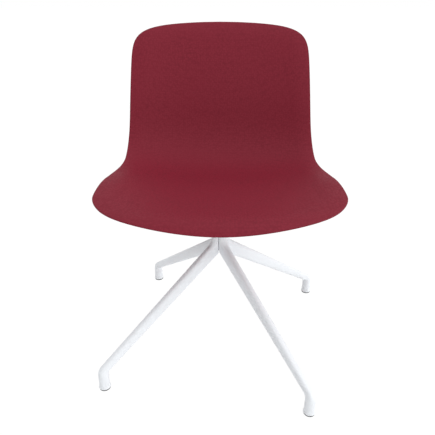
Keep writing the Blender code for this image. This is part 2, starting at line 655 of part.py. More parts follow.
def build_column():
    """Steel tube with a cap flange that ties the four legs, and what runs inside it."""
    screw_places = {}
    for corner, angle in LEG_ANGLES.items():
        turn = math.radians(angle)
        screw_places[corner] = (LEG_SCREW_CIRCLE * math.cos(turn), LEG_SCREW_CIRCLE * math.sin(turn))
    core = [
        (TUBE_BORE, CAP_TOP),
        (CAP_RADIUS, CAP_TOP),
        (CAP_RADIUS, CAP_BOTTOM),
        (TUBE_RADIUS, CAP_BOTTOM),
        (TUBE_RADIUS, TUBE_BOTTOM),
        (TUBE_BORE, TUBE_BOTTOM),
    ]
    column = turned_part("column_core", core, STEEL, BASE, True)
    sink = LEG_SCREW_HEAD - LEG_SCREW_RADIUS
    head_top = CAP_TOP - FIT
    hole_radius = LEG_SCREW_RADIUS + FIT
    hole_head = LEG_SCREW_HEAD + FIT * 2
    hole = [
        (0.0, CAP_TOP + CUT_PAST),
        (hole_head, CAP_TOP + CUT_PAST),
        (hole_head, head_top),
        (hole_radius, head_top - (hole_head - hole_radius)),
        (hole_radius, CAP_BOTTOM - CUT_PAST),
        (0.0, CAP_BOTTOM - CUT_PAST),
    ]
    boolean(column, "DIFFERENCE", turned_cutter("cap_screw_holes", hole, screw_places.values(), BASE))
    screw = [
        (0.0, head_top),
        (LEG_SCREW_HEAD, head_top),
        (LEG_SCREW_RADIUS, head_top - sink),
        (LEG_SCREW_RADIUS, STEM_TOP - LEG_SCREW_REACH),
        (0.0, STEM_TOP - LEG_SCREW_REACH),
    ]
    add_copies("leg_screw", turned_mesh("leg_screw", screw), ZINC, BASE, screw_places)
    flange_bottom = CAP_TOP + FIT
    bush_outer = TUBE_BORE - FIT
    upper = [
        (BUSH_BORE, BUSH_TOP),
        (BUSH_FLANGE_RADIUS, BUSH_TOP),
        (BUSH_FLANGE_RADIUS, flange_bottom),
        (bush_outer, flange_bottom),
        (bush_outer, BUSH_TOP - BUSH_LENGTH),
        (BUSH_BORE, BUSH_TOP - BUSH_LENGTH),
    ]
    turned_part("upper_bush", upper, ACETAL, BASE, True)
    lower = ring_profile(BUSH_BORE, bush_outer, LOWER_BUSH_BOTTOM, LOWER_BUSH_BOTTOM + BUSH_LENGTH)
    turned_part("lower_bush", lower, ACETAL, BASE, True)
    thrust = ring_profile(BUSH_BORE, BUSH_FLANGE_RADIUS, THRUST_BOTTOM, THRUST_BOTTOM + THRUST_THICKNESS)
    turned_part("thrust_washer", thrust, ACETAL, BASE, True)
    plug = [
        (0.0, TUBE_BOTTOM + PLUG_DEPTH),
        (bush_outer, TUBE_BOTTOM + PLUG_DEPTH),
        (bush_outer, TUBE_BOTTOM - FIT),
        (TUBE_RADIUS, TUBE_BOTTOM - FIT),
        (TUBE_RADIUS, TUBE_BOTTOM - FIT - PLUG_HEAD / 2),
        (TUBE_RADIUS - PLUG_HEAD, TUBE_BOTTOM - FIT - PLUG_HEAD),
        (0.0, TUBE_BOTTOM - FIT - PLUG_HEAD),
    ]
    turned_part("column_plug", plug, GLIDE_GREY, BASE)


def rounded_corner(before, corner, after, radius):
    """Points of an arc that rounds the corner of a bent line."""
    to_before = np.subtract(before, corner)
    to_after = np.subtract(after, corner)
    to_before = to_before / np.linalg.norm(to_before)
    to_after = to_after / np.linalg.norm(to_after)
    half = math.acos(float(np.clip(to_before @ to_after, -1.0, 1.0))) / 2
    bisector = to_before + to_after
    centre = np.add(corner, bisector / np.linalg.norm(bisector) * radius / math.sin(half))
    start = np.add(corner, to_before * radius / math.tan(half)) - centre
    end = np.add(corner, to_after * radius / math.tan(half)) - centre
    sweep = math.pi - 2 * half
    points = []
    for k in range(BEND_STEPS + 1):
        t = k / BEND_STEPS
        arm = (start * math.sin((1.0 - t) * sweep) + end * math.sin(t * sweep)) / math.sin(sweep)
        points.append(tuple(centre + arm))
    return points


def leg_stations():
    """Top point, bottom point and width of each section, from the stem to the foot."""
    outer = FOOT_REACH + FOOT_RADIUS
    inner = FOOT_REACH - FOOT_RADIUS

    def top_at(reach):
        return ROOT_TOP - (reach - ROOT_REACH) * math.tan(math.radians(ARM_TOP_FALL))

    def bottom_at(reach):
        return ROOT_BOTTOM - (reach - ROOT_REACH) * math.tan(math.radians(ARM_BOTTOM_FALL))

    crotch = (COLUMN_RADIUS, top_at(COLUMN_RADIUS))
    heel = (-STEM_LAP, bottom_at(-STEM_LAP))
    knee = (outer, top_at(outer))
    hollow = (inner, bottom_at(inner))
    arm_middle = (FOOT_REACH / 2, top_at(FOOT_REACH / 2))
    belly_middle = (FOOT_REACH / 2, bottom_at(FOOT_REACH / 2))
    foot_low = FOOT_BOTTOM + FOOT_FLARE_HEIGHT
    crotches = rounded_corner((COLUMN_RADIUS, STEM_TOP), crotch, arm_middle, CROTCH_ROUND)
    heels = rounded_corner((-STEM_LAP, STEM_TOP), heel, belly_middle, HEEL_ROUND)
    knees = rounded_corner(arm_middle, knee, (outer, foot_low), KNEE_ROUND)
    hollows = rounded_corner(belly_middle, hollow, (inner, foot_low), HOLLOW_ROUND)
    stations = [((COLUMN_RADIUS, STEM_TOP), (-STEM_LAP, STEM_TOP), STEM_WIDTH)]
    for k, (top, bottom) in enumerate(zip(crotches, heels)):
        stations.append((top, bottom, STEM_WIDTH + (ROOT_WIDTH - STEM_WIDTH) * k / BEND_STEPS))
    for k in range(1, ARM_SPANS):
        t = k / ARM_SPANS
        top = np.add(np.multiply(crotches[-1], 1.0 - t), np.multiply(knees[0], t))
        bottom = np.add(np.multiply(heels[-1], 1.0 - t), np.multiply(hollows[0], t))
        stations.append((tuple(top), tuple(bottom), ROOT_WIDTH + (ARM_END_WIDTH - ROOT_WIDTH) * t))
    for k, (top, bottom) in enumerate(zip(knees, hollows)):
        width = ARM_END_WIDTH + (2 * FOOT_RADIUS - ARM_END_WIDTH) * k / BEND_STEPS
        stations.append((top, bottom, width))
    stations.append(foot_section(FOOT_RADIUS, foot_low))
    for k in range(1, FLARE_STEPS):
        t = k / FLARE_STEPS
        radius = FOOT_RADIUS + (FOOT_FLARE_RADIUS - FOOT_RADIUS) * t * t
        stations.append(foot_section(radius, foot_low - FOOT_FLARE_HEIGHT * t))
    stations.append(foot_section(FOOT_FLARE_RADIUS, FOOT_BOTTOM + FOOT_EDGE))
    stations.append(foot_section(FOOT_FLARE_RADIUS - FOOT_EDGE, FOOT_BOTTOM))
    return stations


def foot_section(radius, height):
    return (FOOT_REACH + radius, height), (FOOT_REACH - radius, height), 2 * radius


def leg_section(top, bottom, width):
    """Points of an oval between a top and a bottom point."""
    centre = np.add(top, bottom) / 2
    half = np.subtract(top, bottom) / 2
    points = []
    for k in range(SECTION_POINTS):
        angle = math.tau * k / SECTION_POINTS
        reach, height = centre + half * math.sin(angle)
        points.append((reach, width / 2 * math.cos(angle), height))
    return points


def leg_mesh():
    """One cast leg along +X: lofted, mitred to its neighbours, bored for the core and its screw."""
    bm = bmesh.new()
    rings = [[bm.verts.new(p) for p in leg_section(*station)] for station in leg_stations()]
    for above, below in zip(rings, rings[1:]):
        for k in range(SECTION_POINTS):
            n = (k + 1) % SECTION_POINTS
            bm.faces.new([above[k], above[n], below[n], below[k]])
    bm.faces.new(rings[0])
    bm.faces.new(rings[-1])
    blank = add_cutter("leg_blank", bm)
    low = FOOT_BOTTOM
    high = STEM_TOP + CUT_PAST
    far = MITRE_REACH
    apex = FIT / math.sqrt(2.0)
    wedge = bmesh.new()
    around = [(far, far - apex), (far, far * 2), (-far, far * 2), (-far, -far * 2), (far, -far * 2)]
    add_prism(wedge, [(apex, 0.0), *around, (far, apex - far)], low, high)
    boolean(blank, "DIFFERENCE", add_cutter("leg_mitre", wedge))
    core = turned_cutter("leg_core_bore", rod_profile(TUBE_RADIUS + FIT, low, high))
    boolean(blank, "DIFFERENCE", core)
    pilot_low = STEM_TOP - LEG_SCREW_REACH - CUT_PAST
    pilot = rod_profile(LEG_SCREW_RADIUS + FIT, pilot_low, high)
    boolean(blank, "DIFFERENCE", turned_cutter("leg_pilot", pilot, [(LEG_SCREW_CIRCLE, 0.0)]))
    socket_top = GLIDE_HEIGHT + GLIDE_STEM_LENGTH + FIT
    socket = rod_profile(GLIDE_STEM_RADIUS + FIT, FOOT_BOTTOM - CUT_PAST, socket_top)
    boolean(blank, "DIFFERENCE", turned_cutter("leg_glide_socket", socket, [(FOOT_REACH, 0.0)]))
    return baked_mesh(blank)


def glide_mesh():
    """Nylon glide with a push-in stem, standing on the floor at the foot's place."""
    bm = bmesh.new()
    stem_top = GLIDE_HEIGHT + GLIDE_STEM_LENGTH
    profile = [
        (0.0, stem_top),
        (GLIDE_STEM_RADIUS, stem_top),
        (GLIDE_STEM_RADIUS, GLIDE_HEIGHT),
        (GLIDE_RADIUS, GLIDE_HEIGHT),
        (GLIDE_RADIUS, GLIDE_EDGE),
        (GLIDE_RADIUS - GLIDE_EDGE, 0.0),
        (0.0, 0.0),
    ]
    turn_profile(bm, profile, (FOOT_REACH, 0.0))
    return finish_mesh(bm, "glide")


def build_legs():
    leg = leg_mesh()
    glide = glide_mesh()
    for place, angle in LEG_ANGLES.items():
        add_part(f"leg_{place}", leg, LEG_WHITE, BASE, angle)
        add_part(f"glide_{place}", glide, GLIDE_GREY, BASE, angle)


build_shell()
build_plate()
build_spindle()
build_column()
build_legs()
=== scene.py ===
"""Looks of the visitor chair: a grained plastic shell on a white cast base, and the swivel between them.

Metres, +Z up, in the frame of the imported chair. The seat faces -Y, and left and right are as seen by
someone who stands in front of it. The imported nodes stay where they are: each piece modelled here takes
the place of the node that it stands for.
"""

import math

import bpy
import numpy as np
from bpy.props import FloatProperty, FloatVectorProperty, IntProperty, PointerProperty
from bpy.types import Operator, Panel, PropertyGroup
from mathutils import Matrix, Vector


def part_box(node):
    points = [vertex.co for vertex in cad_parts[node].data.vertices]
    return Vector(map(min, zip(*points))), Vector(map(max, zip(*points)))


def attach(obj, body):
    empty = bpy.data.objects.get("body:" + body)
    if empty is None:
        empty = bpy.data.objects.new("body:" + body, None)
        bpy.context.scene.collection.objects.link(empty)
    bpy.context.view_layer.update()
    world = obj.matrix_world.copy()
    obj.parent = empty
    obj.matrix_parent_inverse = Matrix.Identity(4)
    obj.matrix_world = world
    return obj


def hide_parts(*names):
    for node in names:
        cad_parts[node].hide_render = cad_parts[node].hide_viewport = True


bl_info = {
    "name": "Visitor chair",
    "version": (1, 0, 0),
    "blender": (4, 5, 0),
    "location": "3D View > Sidebar > Visitor chair",
    "description": "Models and finishes the pieces of a visitor chair around its packed frame",
    "category": "Object",
}

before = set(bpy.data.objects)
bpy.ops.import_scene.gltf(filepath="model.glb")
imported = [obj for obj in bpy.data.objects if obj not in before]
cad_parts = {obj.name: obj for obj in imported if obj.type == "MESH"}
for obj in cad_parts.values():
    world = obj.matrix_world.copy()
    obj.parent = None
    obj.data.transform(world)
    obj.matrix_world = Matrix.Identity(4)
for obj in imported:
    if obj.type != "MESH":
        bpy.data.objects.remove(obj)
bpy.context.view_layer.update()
CORNERS = ("front_left", "front_right", "rear_right", "rear_left")
MILLIMETRE = 0.001
FIT = 0.3 * MILLIMETRE  # room between pieces that touch or run on each other
CUT_PAST = 4.0 * MILLIMETRE  # how far a cutter reaches past the face that it opens
SAME_POINT = 0.001 * MILLIMETRE  # points closer than this are one
AXIS = (0.0, 0.0)  # the swivel axis, seen from above
OVAL = 2.0  # power of a plain ellipse
FLARE_STEPS = 6  # faces along the spread of a boss
WHITE = (1.0, 1.0, 1.0, 1.0)


def linear(hex_colour):
    """Linear red, green, blue and alpha of an sRGB hex colour."""
    channels = [int(hex_colour[k:k + 2], 16) / 255.0 for k in (1, 3, 5)]
    low = [c / 12.92 for c in channels]
    high = [((c + 0.055) / 1.055) ** 2.4 for c in channels]
    return (*[h if c > 0.04045 else k for c, k, h in zip(channels, low, high)], 1.0)


def length(name, description, default):
    return FloatProperty(name=name, description=description, default=default, unit="LENGTH", precision=4)


def angle(name, description, degrees):
    return FloatProperty(name=name, description=description, default=math.radians(degrees), subtype="ANGLE")


def number(name, description, default):
    return FloatProperty(name=name, description=description, default=default)


def count(name, description, default):
    return IntProperty(name=name, description=description, default=default, min=1)


def colour(name, description, hex_colour):
    default = linear(hex_colour)
    return FloatVectorProperty(
        name=name, description=description, default=default, subtype="COLOR", size=4, min=0.0, max=1.0
    )


class ShellSizes(PropertyGroup):
    """The seat shell: its middle line from front rim to top, its flat outline, its dish and its rim."""

    seat_height: length("Seat height", "Sitting surface above the floor, on the swivel axis", 0.4306)
    front_reach: length("Front reach", "Front rim ahead of the swivel axis", 0.2449)
    lip_run: length("Lip", "Length of the lip that rolls down in front", 0.075)
    seat_run: length("Seat", "Length of the flat of the seat", 0.208)
    bend_run: length("Bend", "Length of the bend from the seat to the back", 0.255)
    back_run: length("Back", "Length of the back above the bend", 0.2135)
    lip_pitch: angle("Lip pitch", "Climb of the middle line at the front rim", 42.0)
    seat_pitch: angle("Seat pitch", "Climb of the seat towards the back", -3.5)
    back_pitch: angle("Back pitch", "Climb of the back where it leaves the bend", 82.0)
    top_pitch: angle("Top pitch", "Climb of the back at its top edge", 70.0)
    lean_start: number("Lean start", "Share of the bend after which the back starts to lean", 0.75)
    lean_power: number("Lean power", "How late the lean comes in", 1.3)
    seat_half_width: length("Seat half width", "Half of the widest place of the flat outline", 0.2688)
    widest_run: length("Widest place", "From the front rim to the widest place", 0.1413)
    front_power: number("Front power", "Squareness of the front, where 2 is an ellipse", 1.89)
    waist_half_width: length("Waist half width", "Half width where the seat becomes the back", 0.2403)
    waist_run: length("Waist", "From the end of the flat seat to the waist", 0.0905)
    waist_power: number("Waist power", "Softness of the run into the waist, where 2 is an even S", 1.51)
    back_half_width: length("Back half width", "Half width where the top corners begin", 0.2290)
    corner_run: length("Top corners", "From the start of the top corners to the top edge", 0.1714)
    corner_power: number("Corner power", "Squareness of the top corners", 6.7)
    top_crown: length("Top crown", "How far the top edge falls away at its corners", 0.0232)
    seat_rise: length("Seat rise", "How far the sides of the seat stand up", 0.0320)
    waist_rise: length("Waist rise", "How far the sides of the waist stand forward", 0.0490)
    top_rise: length("Top rise", "How far the sides of the top stand forward", 0.0326)
    seat_rise_run: length("Seat rise place", "From the front rim to where the seat has its full rise", 0.24)
    waist_rise_run: length("Waist rise place", "From the flat seat's end to the waist's full rise", 0.177)
    rise_power: number("Rise power", "How late the sides start to rise", 2.6)
    roll_band: length("Roll band", "Width of the rim that rolls outwards", 0.044)
    roll_drop: length("Roll drop", "How far the rim rolls back", 0.007)
    thickness: length("Thickness", "Wall of the shell", 0.0050)
    rim_round: length("Rim round", "Rounding of the moulded rim", 0.0021)
    boss_radius: length("Boss radius", "Radius of the screw bosses under the seat", 0.0095)
    boss_flare: length("Boss flare", "How far a boss spreads where it meets the shell", 0.0040)
    boss_flare_height: length("Boss flare height", "Height of that spread", 0.0060)


class LegSizes(PropertyGroup):
    """A cast leg in its own upright plane: a quarter of the column, an oval arm and a round foot."""

    column_radius: length("Column radius", "Outer side of the stems", 0.0225)
    stem_width: length("Stem width", "Width of a stem before it is mitred", 0.028)
    stem_lap: length("Stem lap", "Stem past the axis before it is mitred", 0.0055)
    seam_gap: length("Seam gap", "Shadow gap between neighbouring stems", 0.0018)
    seam_cut: length("Seam cut", "Bevel along the seams between the stems", 0.0004)
    root_reach: length("Root reach", "Where the heights of the arm's root are taken", 0.030)
    root_top: length("Root top", "Height of the arm's upper side there", 0.2807)
    root_bottom: length("Root bottom", "Height of the arm's lower side there", 0.2382)
    root_width: length("Root width", "Width of the arm at its root", 0.019)
    crotch_round: length("Crotch round", "Bend of the upper side from stem to arm", 0.0295)
    heel_round: length("Heel round", "Bend of the lower side from stem to arm", 0.0257)
    top_fall: angle("Upper fall", "Slope of the arm's upper side", 35.82)
    bottom_fall: angle("Lower fall", "Slope of the arm's lower side", 33.4)
    end_width: length("End width", "Width of the arm before the foot", 0.0175)
    knee_round: length("Knee round", "Bend of the upper side from arm to foot", 0.030)
    hollow_round: length("Hollow round", "Bend of the lower side from arm to foot", 0.0085)
    foot_radius: length("Foot radius", "Radius of the upright foot", 0.0123)
    flare_radius: length("Flare radius", "Radius of the foot at its lower edge", 0.0138)
    flare_height: length("Flare height", "Height over which the foot spreads", 0.016)
    foot_edge: length("Foot edge", "Rounding of the foot's lower edge", 0.0012)
    arm_power: number("Arm power", "Squareness of the arm's section, where 2 is an ellipse", 2.8)


class SwivelSizes(PropertyGroup):
    """The plate, the spindle and the column core."""

    plate_corner: length("Plate corner", "Corner radius of the plate", 0.014)
    edge_round: length("Edge round", "Broken edges of plate and turned pieces", 0.0005)
    screw_radius: length("Screw radius", "Shank of the plate screws", 0.0030)
    head_shoulder: length("Head shoulder", "Radius where a button head turns over", 0.0047)
    head_side: length("Head side", "Height of a button head up to there", 0.0020)
    head_crown: length("Head crown", "Radius of the flat on a button head", 0.0033)
    socket_radius: length("Socket radius", "Corner radius of a button head's socket", 0.0023)
    socket_depth: length("Socket depth", "Depth of a button head's socket", 0.0018)
    insert_radius: length("Insert radius", "Outer radius of the inserts in the bosses", 0.0047)
    stud_radius: length("Stud radius", "Threaded end of the spindle", 0.006)
    flange_height: length("Flange height", "Thickness of the spindle's flange", 0.005)
    hub_radius: length("Hub radius", "Spindle between its flange and the bushes", 0.013)
    hub_height: length("Hub height", "Length of that stretch", 0.013)
    spindle_radius: length("Spindle radius", "Spindle where it runs in the bushes", 0.008)
    groove_radius: length("Groove radius", "Bottom of the clip's groove", 0.0072)
    tube_radius: length("Tube radius", "Outer radius of the column tube", 0.0120)
    tube_bore: length("Tube bore", "Inner radius of the column tube", 0.0100)
    cap_thickness: length("Cap thickness", "Flange on the column tube that ties the legs", 0.006)
    leg_screw_radius: length("Leg screw radius", "Shank of the leg screws", 0.0025)
    leg_screw_head: length("Leg screw head", "Head radius of the leg screws", 0.0045)
    glide_stem: length("Glide stem", "Radius of a glide's stem", 0.004)
    glide_height: length("Glide height", "Thickness of a glide's disc", 0.0032)


class Fineness(PropertyGroup):
    """How many faces the pieces have."""

    shell_across: count("Shell across", "Faces across the shell inside its rim", 56)
    shell_along: count("Shell along", "Faces along the shell inside its rim", 76)
    rim_rings: count("Rim rings", "Rings of faces in the rolled rim", 10)
    turned: count("Turned", "Faces round a turned piece", 64)
    leg_round: count("Leg round", "Faces round a leg", 56)
    leg_bend: count("Leg bend", "Faces along each bend of a leg", 14)
    leg_arm: count("Leg arm", "Faces along a leg's arm", 24)
    foot_flare: count("Foot flare", "Faces along a foot's flare", 6)
    line_steps: count("Line steps", "Steps in which the shell's middle line is added up", 1200)


class Colours(PropertyGroup):
    """Colours of the finishes."""

    shell_red: colour("Shell", "Dark red polypropylene", "#7A0C25")
    leg_white: colour("Legs", "White powder coat", "#F3F7FB")
    plate_black: colour("Plate", "Black powder coat", "#1F2022")
    nylon_grey: colour("Glides", "Dark grey nylon", "#3A3B3E")
    acetal_white: colour("Bushes", "Natural acetal", "#E3E0D6")
    steel: colour("Steel", "Turned steel", "#BDBEC1")
    zinc: colour("Zinc", "Zinc plate", "#C6C7C4")
    brass: colour("Brass", "Machined brass", "#D8B368")
    floor_white: colour("Floor", "Studio floor", "#F6F6F6")


class StageSizes(PropertyGroup):
    """The camera and the light."""

    camera_back: length("Camera back", "Camera ahead of the swivel axis", 0.9944)
    camera_height: length("Camera height", "Camera above the floor", 0.8231)
    camera_tilt: angle("Camera tilt", "How far the camera looks down", 25.53)
    camera_turn: angle("Camera turn", "How far the camera looks to the left", 0.33)
    camera_lens: number("Lens", "Focal length on a 36 mm sensor, in millimetres", 37.82)
    floor_width: length("Floor width", "Side of the studio floor", 100.0)
    floor_glow: number("Floor glow", "Strength of the white in which the floor shows as background", 1.06)
    shadow_trace: number("Shadow trace", "Share of the lit floor in that white, which keeps the shadow", 0.12)
    right_light: number("Right light", "Strength of the soft light on the right", 1.50)
    corner_light: number("Corner light", "Strength of the soft light between right and front", 1.20)
    front_light: number("Front light", "Strength of the soft light in front", 0.92)
    high_light: number("High light", "Strength of the soft light high on the left", 1.32)
    rear_light: number("Rear light", "Strength of the soft light high behind", 0.16)


def settings():
    return bpy.context.scene.visitor_chair


class ChairSettings(PropertyGroup):
    """All that a user would change."""

    shell: PointerProperty(type=ShellSizes, name="Shell", description="Sizes of the seat shell")
    leg: PointerProperty(type=LegSizes, name="Leg", description="Sizes of a leg")
    swivel: PointerProperty(type=SwivelSizes, name="Swivel", description="Sizes of plate, spindle and column")
    fineness: PointerProperty(type=Fineness, name="Fineness", description="Face counts")
    colours: PointerProperty(type=Colours, name="Colours", description="Colours of the finishes")
    stage: PointerProperty(type=StageSizes, name="Stage", description="Camera and light")


# Tools for modelling


def start_clean():
    if bpy.context.object and bpy.context.object.mode != "OBJECT":
        bpy.ops.object.mode_set(mode="OBJECT")
    bpy.ops.object.select_all(action="DESELECT")


def edit(select="VERT"):
    bpy.ops.object.mode_set(mode="EDIT")
    bpy.ops.mesh.select_mode(type=select)


def leave_edit():
    bpy.ops.object.mode_set(mode="OBJECT")


def apply_modifier(piece, kind, **options):
    """Add a modifier to a piece, set it up and apply it."""
    bpy.context.view_layer.objects.active = piece
    bpy.ops.object.modifier_add(type=kind)
    modifier = piece.modifiers[-1]
    for option, value in options.items():
        setattr(modifier, option, value)
    bpy.ops.object.modifier_apply(modifier=modifier.name)


def removed(piece):
    spent = piece.data
    bpy.data.objects.remove(piece, do_unlink=True)
    bpy.data.meshes.remove(spent)


def combine(piece, other, operation):
    """Add another closed shape to a piece, or cut it away, and remove the other shape."""
    apply_modifier(piece, "BOOLEAN", operation=operation, object=other, solver="EXACT")
    removed(other)


def settled():
    """The active object, with its place, turn and scale worked into its points."""
    bpy.ops.object.transform_apply(location=True, rotation=True, scale=True)
    return bpy.context.object


def weld():
    """Select all, and make one point of those that lie on each other."""
    bpy.ops.mesh.select_all(action="SELECT")
    bpy.ops.mesh.remove_doubles(threshold=SAME_POINT)


def place_points(piece, points):
    piece.data.vertices.foreach_set("co", np.asarray(points, dtype=np.float32).ravel())
    piece.data.update()


def turn_profile(profile, centre=AXIS, closed=False):
    """Turned piece: draw a profile of (radius, height) points by extruding a vertex, then spin it."""
    start_clean()
    bpy.ops.mesh.primitive_plane_add(size=MILLIMETRE, location=(0.0, 0.0, 0.0))
    piece = bpy.context.object
    edit()
    bpy.ops.mesh.merge(type="CENTER")
    bpy.ops.transform.translate(value=(profile[0][0], 0.0, profile[0][1]))
    ends = [*profile[1:], profile[0]] if closed else profile[1:]
    for (radius, height), (next_radius, next_height) in zip(profile, ends):
        step = (next_radius - radius, 0.0, next_height - height)
        bpy.ops.mesh.extrude_vertices_move(TRANSFORM_OT_translate={"value": step})
    weld()
    steps = settings().fineness.turned
    bpy.ops.mesh.spin(steps=steps, angle=math.tau, center=(0.0, 0.0, 0.0), axis=(0.0, 0.0, 1.0))
    weld()
    bpy.ops.mesh.normals_make_consistent(inside=False)
    bpy.ops.transform.translate(value=(*centre, 0.0))
    leave_edit()
    return piece


def turned_solid(outside, centre=AXIS):
    """Turned piece without a bore: its outside from the top down, closed on the axis at both ends."""
    return turn_profile([(0.0, outside[0][1]), *outside, (0.0, outside[-1][1])], centre)


def rod(radius, bottom, top, centre=AXIS):
    return turned_solid([(radius, top), (radius, bottom)], centre)


def ring(inner, outer, bottom, top, centre=AXIS):
    profile = [(inner, top), (outer, top), (outer, bottom), (inner, bottom)]
    return turn_profile(profile, centre, closed=True)


def bore(piece, radius, bottom, top, centre=AXIS):
    """Cut an upright round hole with room for what goes into it."""
    combine(piece, rod(radius + FIT, bottom, top, centre), "DIFFERENCE")


def break_edges(piece, width, sharper_than=35.0):
    """Round the edges that turn by more than an angle, as a broken or moulded edge."""
    limit = {"limit_method": "ANGLE", "angle_limit": math.radians(sharper_than)}
    apply_modifier(piece, "BEVEL", width=width, segments=3, use_clamp_overlap=True, **limit)


def smooth(piece, below=35.0):
    start_clean()
    piece.select_set(True)
    bpy.context.view_layer.objects.active = piece
    bpy.ops.object.shade_smooth_by_angle(angle=math.radians(below))


def finished(piece, name, body, finish, slot, *nodes):
    """Name a piece, give it its finish and let it ride in place of its CAD nodes."""
    smooth(piece)
    piece.name = name
    piece.data.name = name
    piece.data.materials.clear()
    piece.data.materials.append(finish_named(finish))
    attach(piece, body)
    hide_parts(*nodes)


def copied(piece):
    """A copy with a mesh of its own."""
    other = piece.copy()
    other.data = piece.data.copy()
    bpy.context.scene.collection.objects.link(other)
    return other


def middle(node):
    """Centre of a CAD node's box, seen from above."""
    low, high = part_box(node)
    return (low.x + high.x) / 2, (low.y + high.y) / 2


def set_in_corners(piece, name, body, finish, slot, kind):
    """Set copies of a piece modelled in the front left corner in all four, in place of their CAD nodes."""
    x, y = middle(f"{kind}_front_left")
    for corner in CORNERS:
        node = f"{kind}_{corner}"
        to_x, to_y = middle(node)
        copy = copied(piece)
        copy.data.transform(Matrix.Translation((to_x - x, to_y - y, 0.0)))
        finished(copy, f"{name}_{corner}", body, finish, slot, node)
    removed(piece)


# Form of the seat shell


def ease(t):
    """Smooth step from 0 to 1."""
    t = np.clip(t, 0.0, 1.0)
    return t * t * (3.0 - 2.0 * t)


def blend(first, last, t):
    return first + (last - first) * t


class ShellForm:
    """Works out where a point of the flat shell comes to lie once the shell is dished and bent."""

    def __init__(self, sizes, line_steps):
        self.s = sizes
        self.flat_end = sizes.lip_run + sizes.seat_run
        self.run_length = self.flat_end + sizes.bend_run + sizes.back_run
        self.runs = np.linspace(0.0, self.run_length, line_steps + 1)
        step = self.runs[1]
        pitch = self.pitch(self.runs[:-1] + step / 2)
        self.depths = np.concatenate([[0.0], np.cumsum(np.cos(pitch)) * step]) - sizes.front_reach
        self.heights = np.concatenate([[0.0], np.cumsum(np.sin(pitch)) * step])
        self.heights += sizes.seat_height - np.interp(0.0, self.depths, self.heights)

    def pitch(self, run):
        """Slope of the middle line at a distance along it."""
        s = self.s
        lean_from = self.flat_end + s.lean_start * s.bend_run
        lip = (1.0 - np.clip(run / s.lip_run, 0.0, 1.0)) ** 2
        bend = ease((run - self.flat_end) / s.bend_run)
        lean = np.clip((run - lean_from) / (self.run_length - lean_from), 0.0, 1.0) ** s.lean_power
        pitch = s.seat_pitch + (s.lip_pitch - s.seat_pitch) * lip
        return pitch + (s.back_pitch - s.seat_pitch) * bend + (s.top_pitch - s.back_pitch) * lean

    def rise(self, run):
        """How far the sides of the dish stand up at a distance along the middle line."""
        s = self.s
        waist_at = self.flat_end + s.waist_rise_run
        rise = s.seat_rise * ease(run / s.seat_rise_run)
        rise += (s.waist_rise - s.seat_rise) * ease((run - s.seat_rise_run) / (waist_at - s.seat_rise_run))
        return rise + (s.top_rise - s.waist_rise) * ease((run - waist_at) / (self.run_length - waist_at))

    def pressed(self, flat):
        """Sitting surface over flat points of (across, run, distance from the rim)."""
        s = self.s
        across, run, inset = flat.T
        pitch = self.pitch(run)
        lift = self.rise(run) * (np.abs(across) / s.seat_half_width) ** s.rise_power
        lift -= s.roll_drop * np.clip(1.0 - inset / s.roll_band, 0.0, 1.0) ** 2
        depth = np.interp(run, self.runs, self.depths) - lift * np.sin(pitch)
        height = np.interp(run, self.runs, self.heights) + lift * np.cos(pitch)
        return np.column_stack([across, depth, height])

    def height_at(self, x, y):
        """Height of the sitting surface over a point of the seat's flat part."""
        run = np.interp(y, self.depths, self.runs)
        return self.pressed(np.array([[x, run, self.s.roll_band]]))[0, 2]

    def side(self, run):
        """Half width of the flat outline before its front and top are rounded."""
        s = self.s
        waist_at = self.flat_end + s.waist_run
        taper = (s.back_half_width - s.waist_half_width) / (self.run_length - s.corner_run - waist_at)
        span = waist_at - s.widest_run
        t = np.clip((run - s.widest_run) / span, 0.0, 1.0)
        drawn_in = 1.0 - (1.0 - t) ** s.waist_power * (1.0 + s.waist_power * t)
        width = blend(s.seat_half_width, s.waist_half_width, drawn_in)
        # The sides leave the widest place straight and reach the waist at the taper of the back
        width += taper * span * (t**3 - t**2)
        return width + taper * np.maximum(run - waist_at, 0.0)

    def half_outline(self, samples=600):
        """Right half of the flat outline as (across, run), from the front to the top."""
        s = self.s
        turn = np.linspace(0.0, math.pi / 2, samples)
        corner_at = self.run_length - s.corner_run
        front = s.widest_run * (1.0 - np.cos(turn) ** (2.0 / s.front_power))
        side = np.linspace(s.widest_run, corner_at, samples)[1:-1]
        top = corner_at + s.corner_run * np.sin(turn) ** (2.0 / s.corner_power)
        run = np.concatenate([front, side, top])
        to_front = np.clip((s.widest_run - run) / s.widest_run, 0.0, 1.0)
        to_top = np.clip((run - corner_at) / s.corner_run, 0.0, 1.0)
        across = self.side(run)
        across *= np.maximum(1.0 - to_front**s.front_power, 0.0) ** (1.0 / s.front_power)
        across *= np.maximum(1.0 - to_top**s.corner_power, 0.0) ** (1.0 / s.corner_power)
        run = run - s.top_crown * (across / s.back_half_width) ** 2 * to_top**2
        return np.column_stack([across, run])

    def half_rim(self, across_faces, along_faces):
        """Evenly spaced rim points of the right half, with their inward directions."""
        outline = self.half_outline()
        steps = np.diff(outline, axis=0)
        heading = np.arctan2(steps[:, 1], steps[:, 0])
        walked = np.concatenate([[0.0], np.cumsum(np.hypot(steps[:, 0], steps[:, 1]))])
        # The corners of the grid sit where the outline has turned by 45 and by 135 degrees
        front_corner = walked[np.argmax(heading > math.radians(45.0))]
        top_corner = walked[np.argmax(heading > math.radians(135.0))]
        half = across_faces // 2
        stations = np.concatenate([
            np.linspace(0.0, front_corner, half + 1)[:-1],
            np.linspace(front_corner, top_corner, along_faces + 1)[:-1],
            np.linspace(top_corner, walked[-1], half + 1),
        ])

        def walk(at):
            return np.column_stack([np.interp(at, walked, outline[:, k]) for k in (0, 1)])

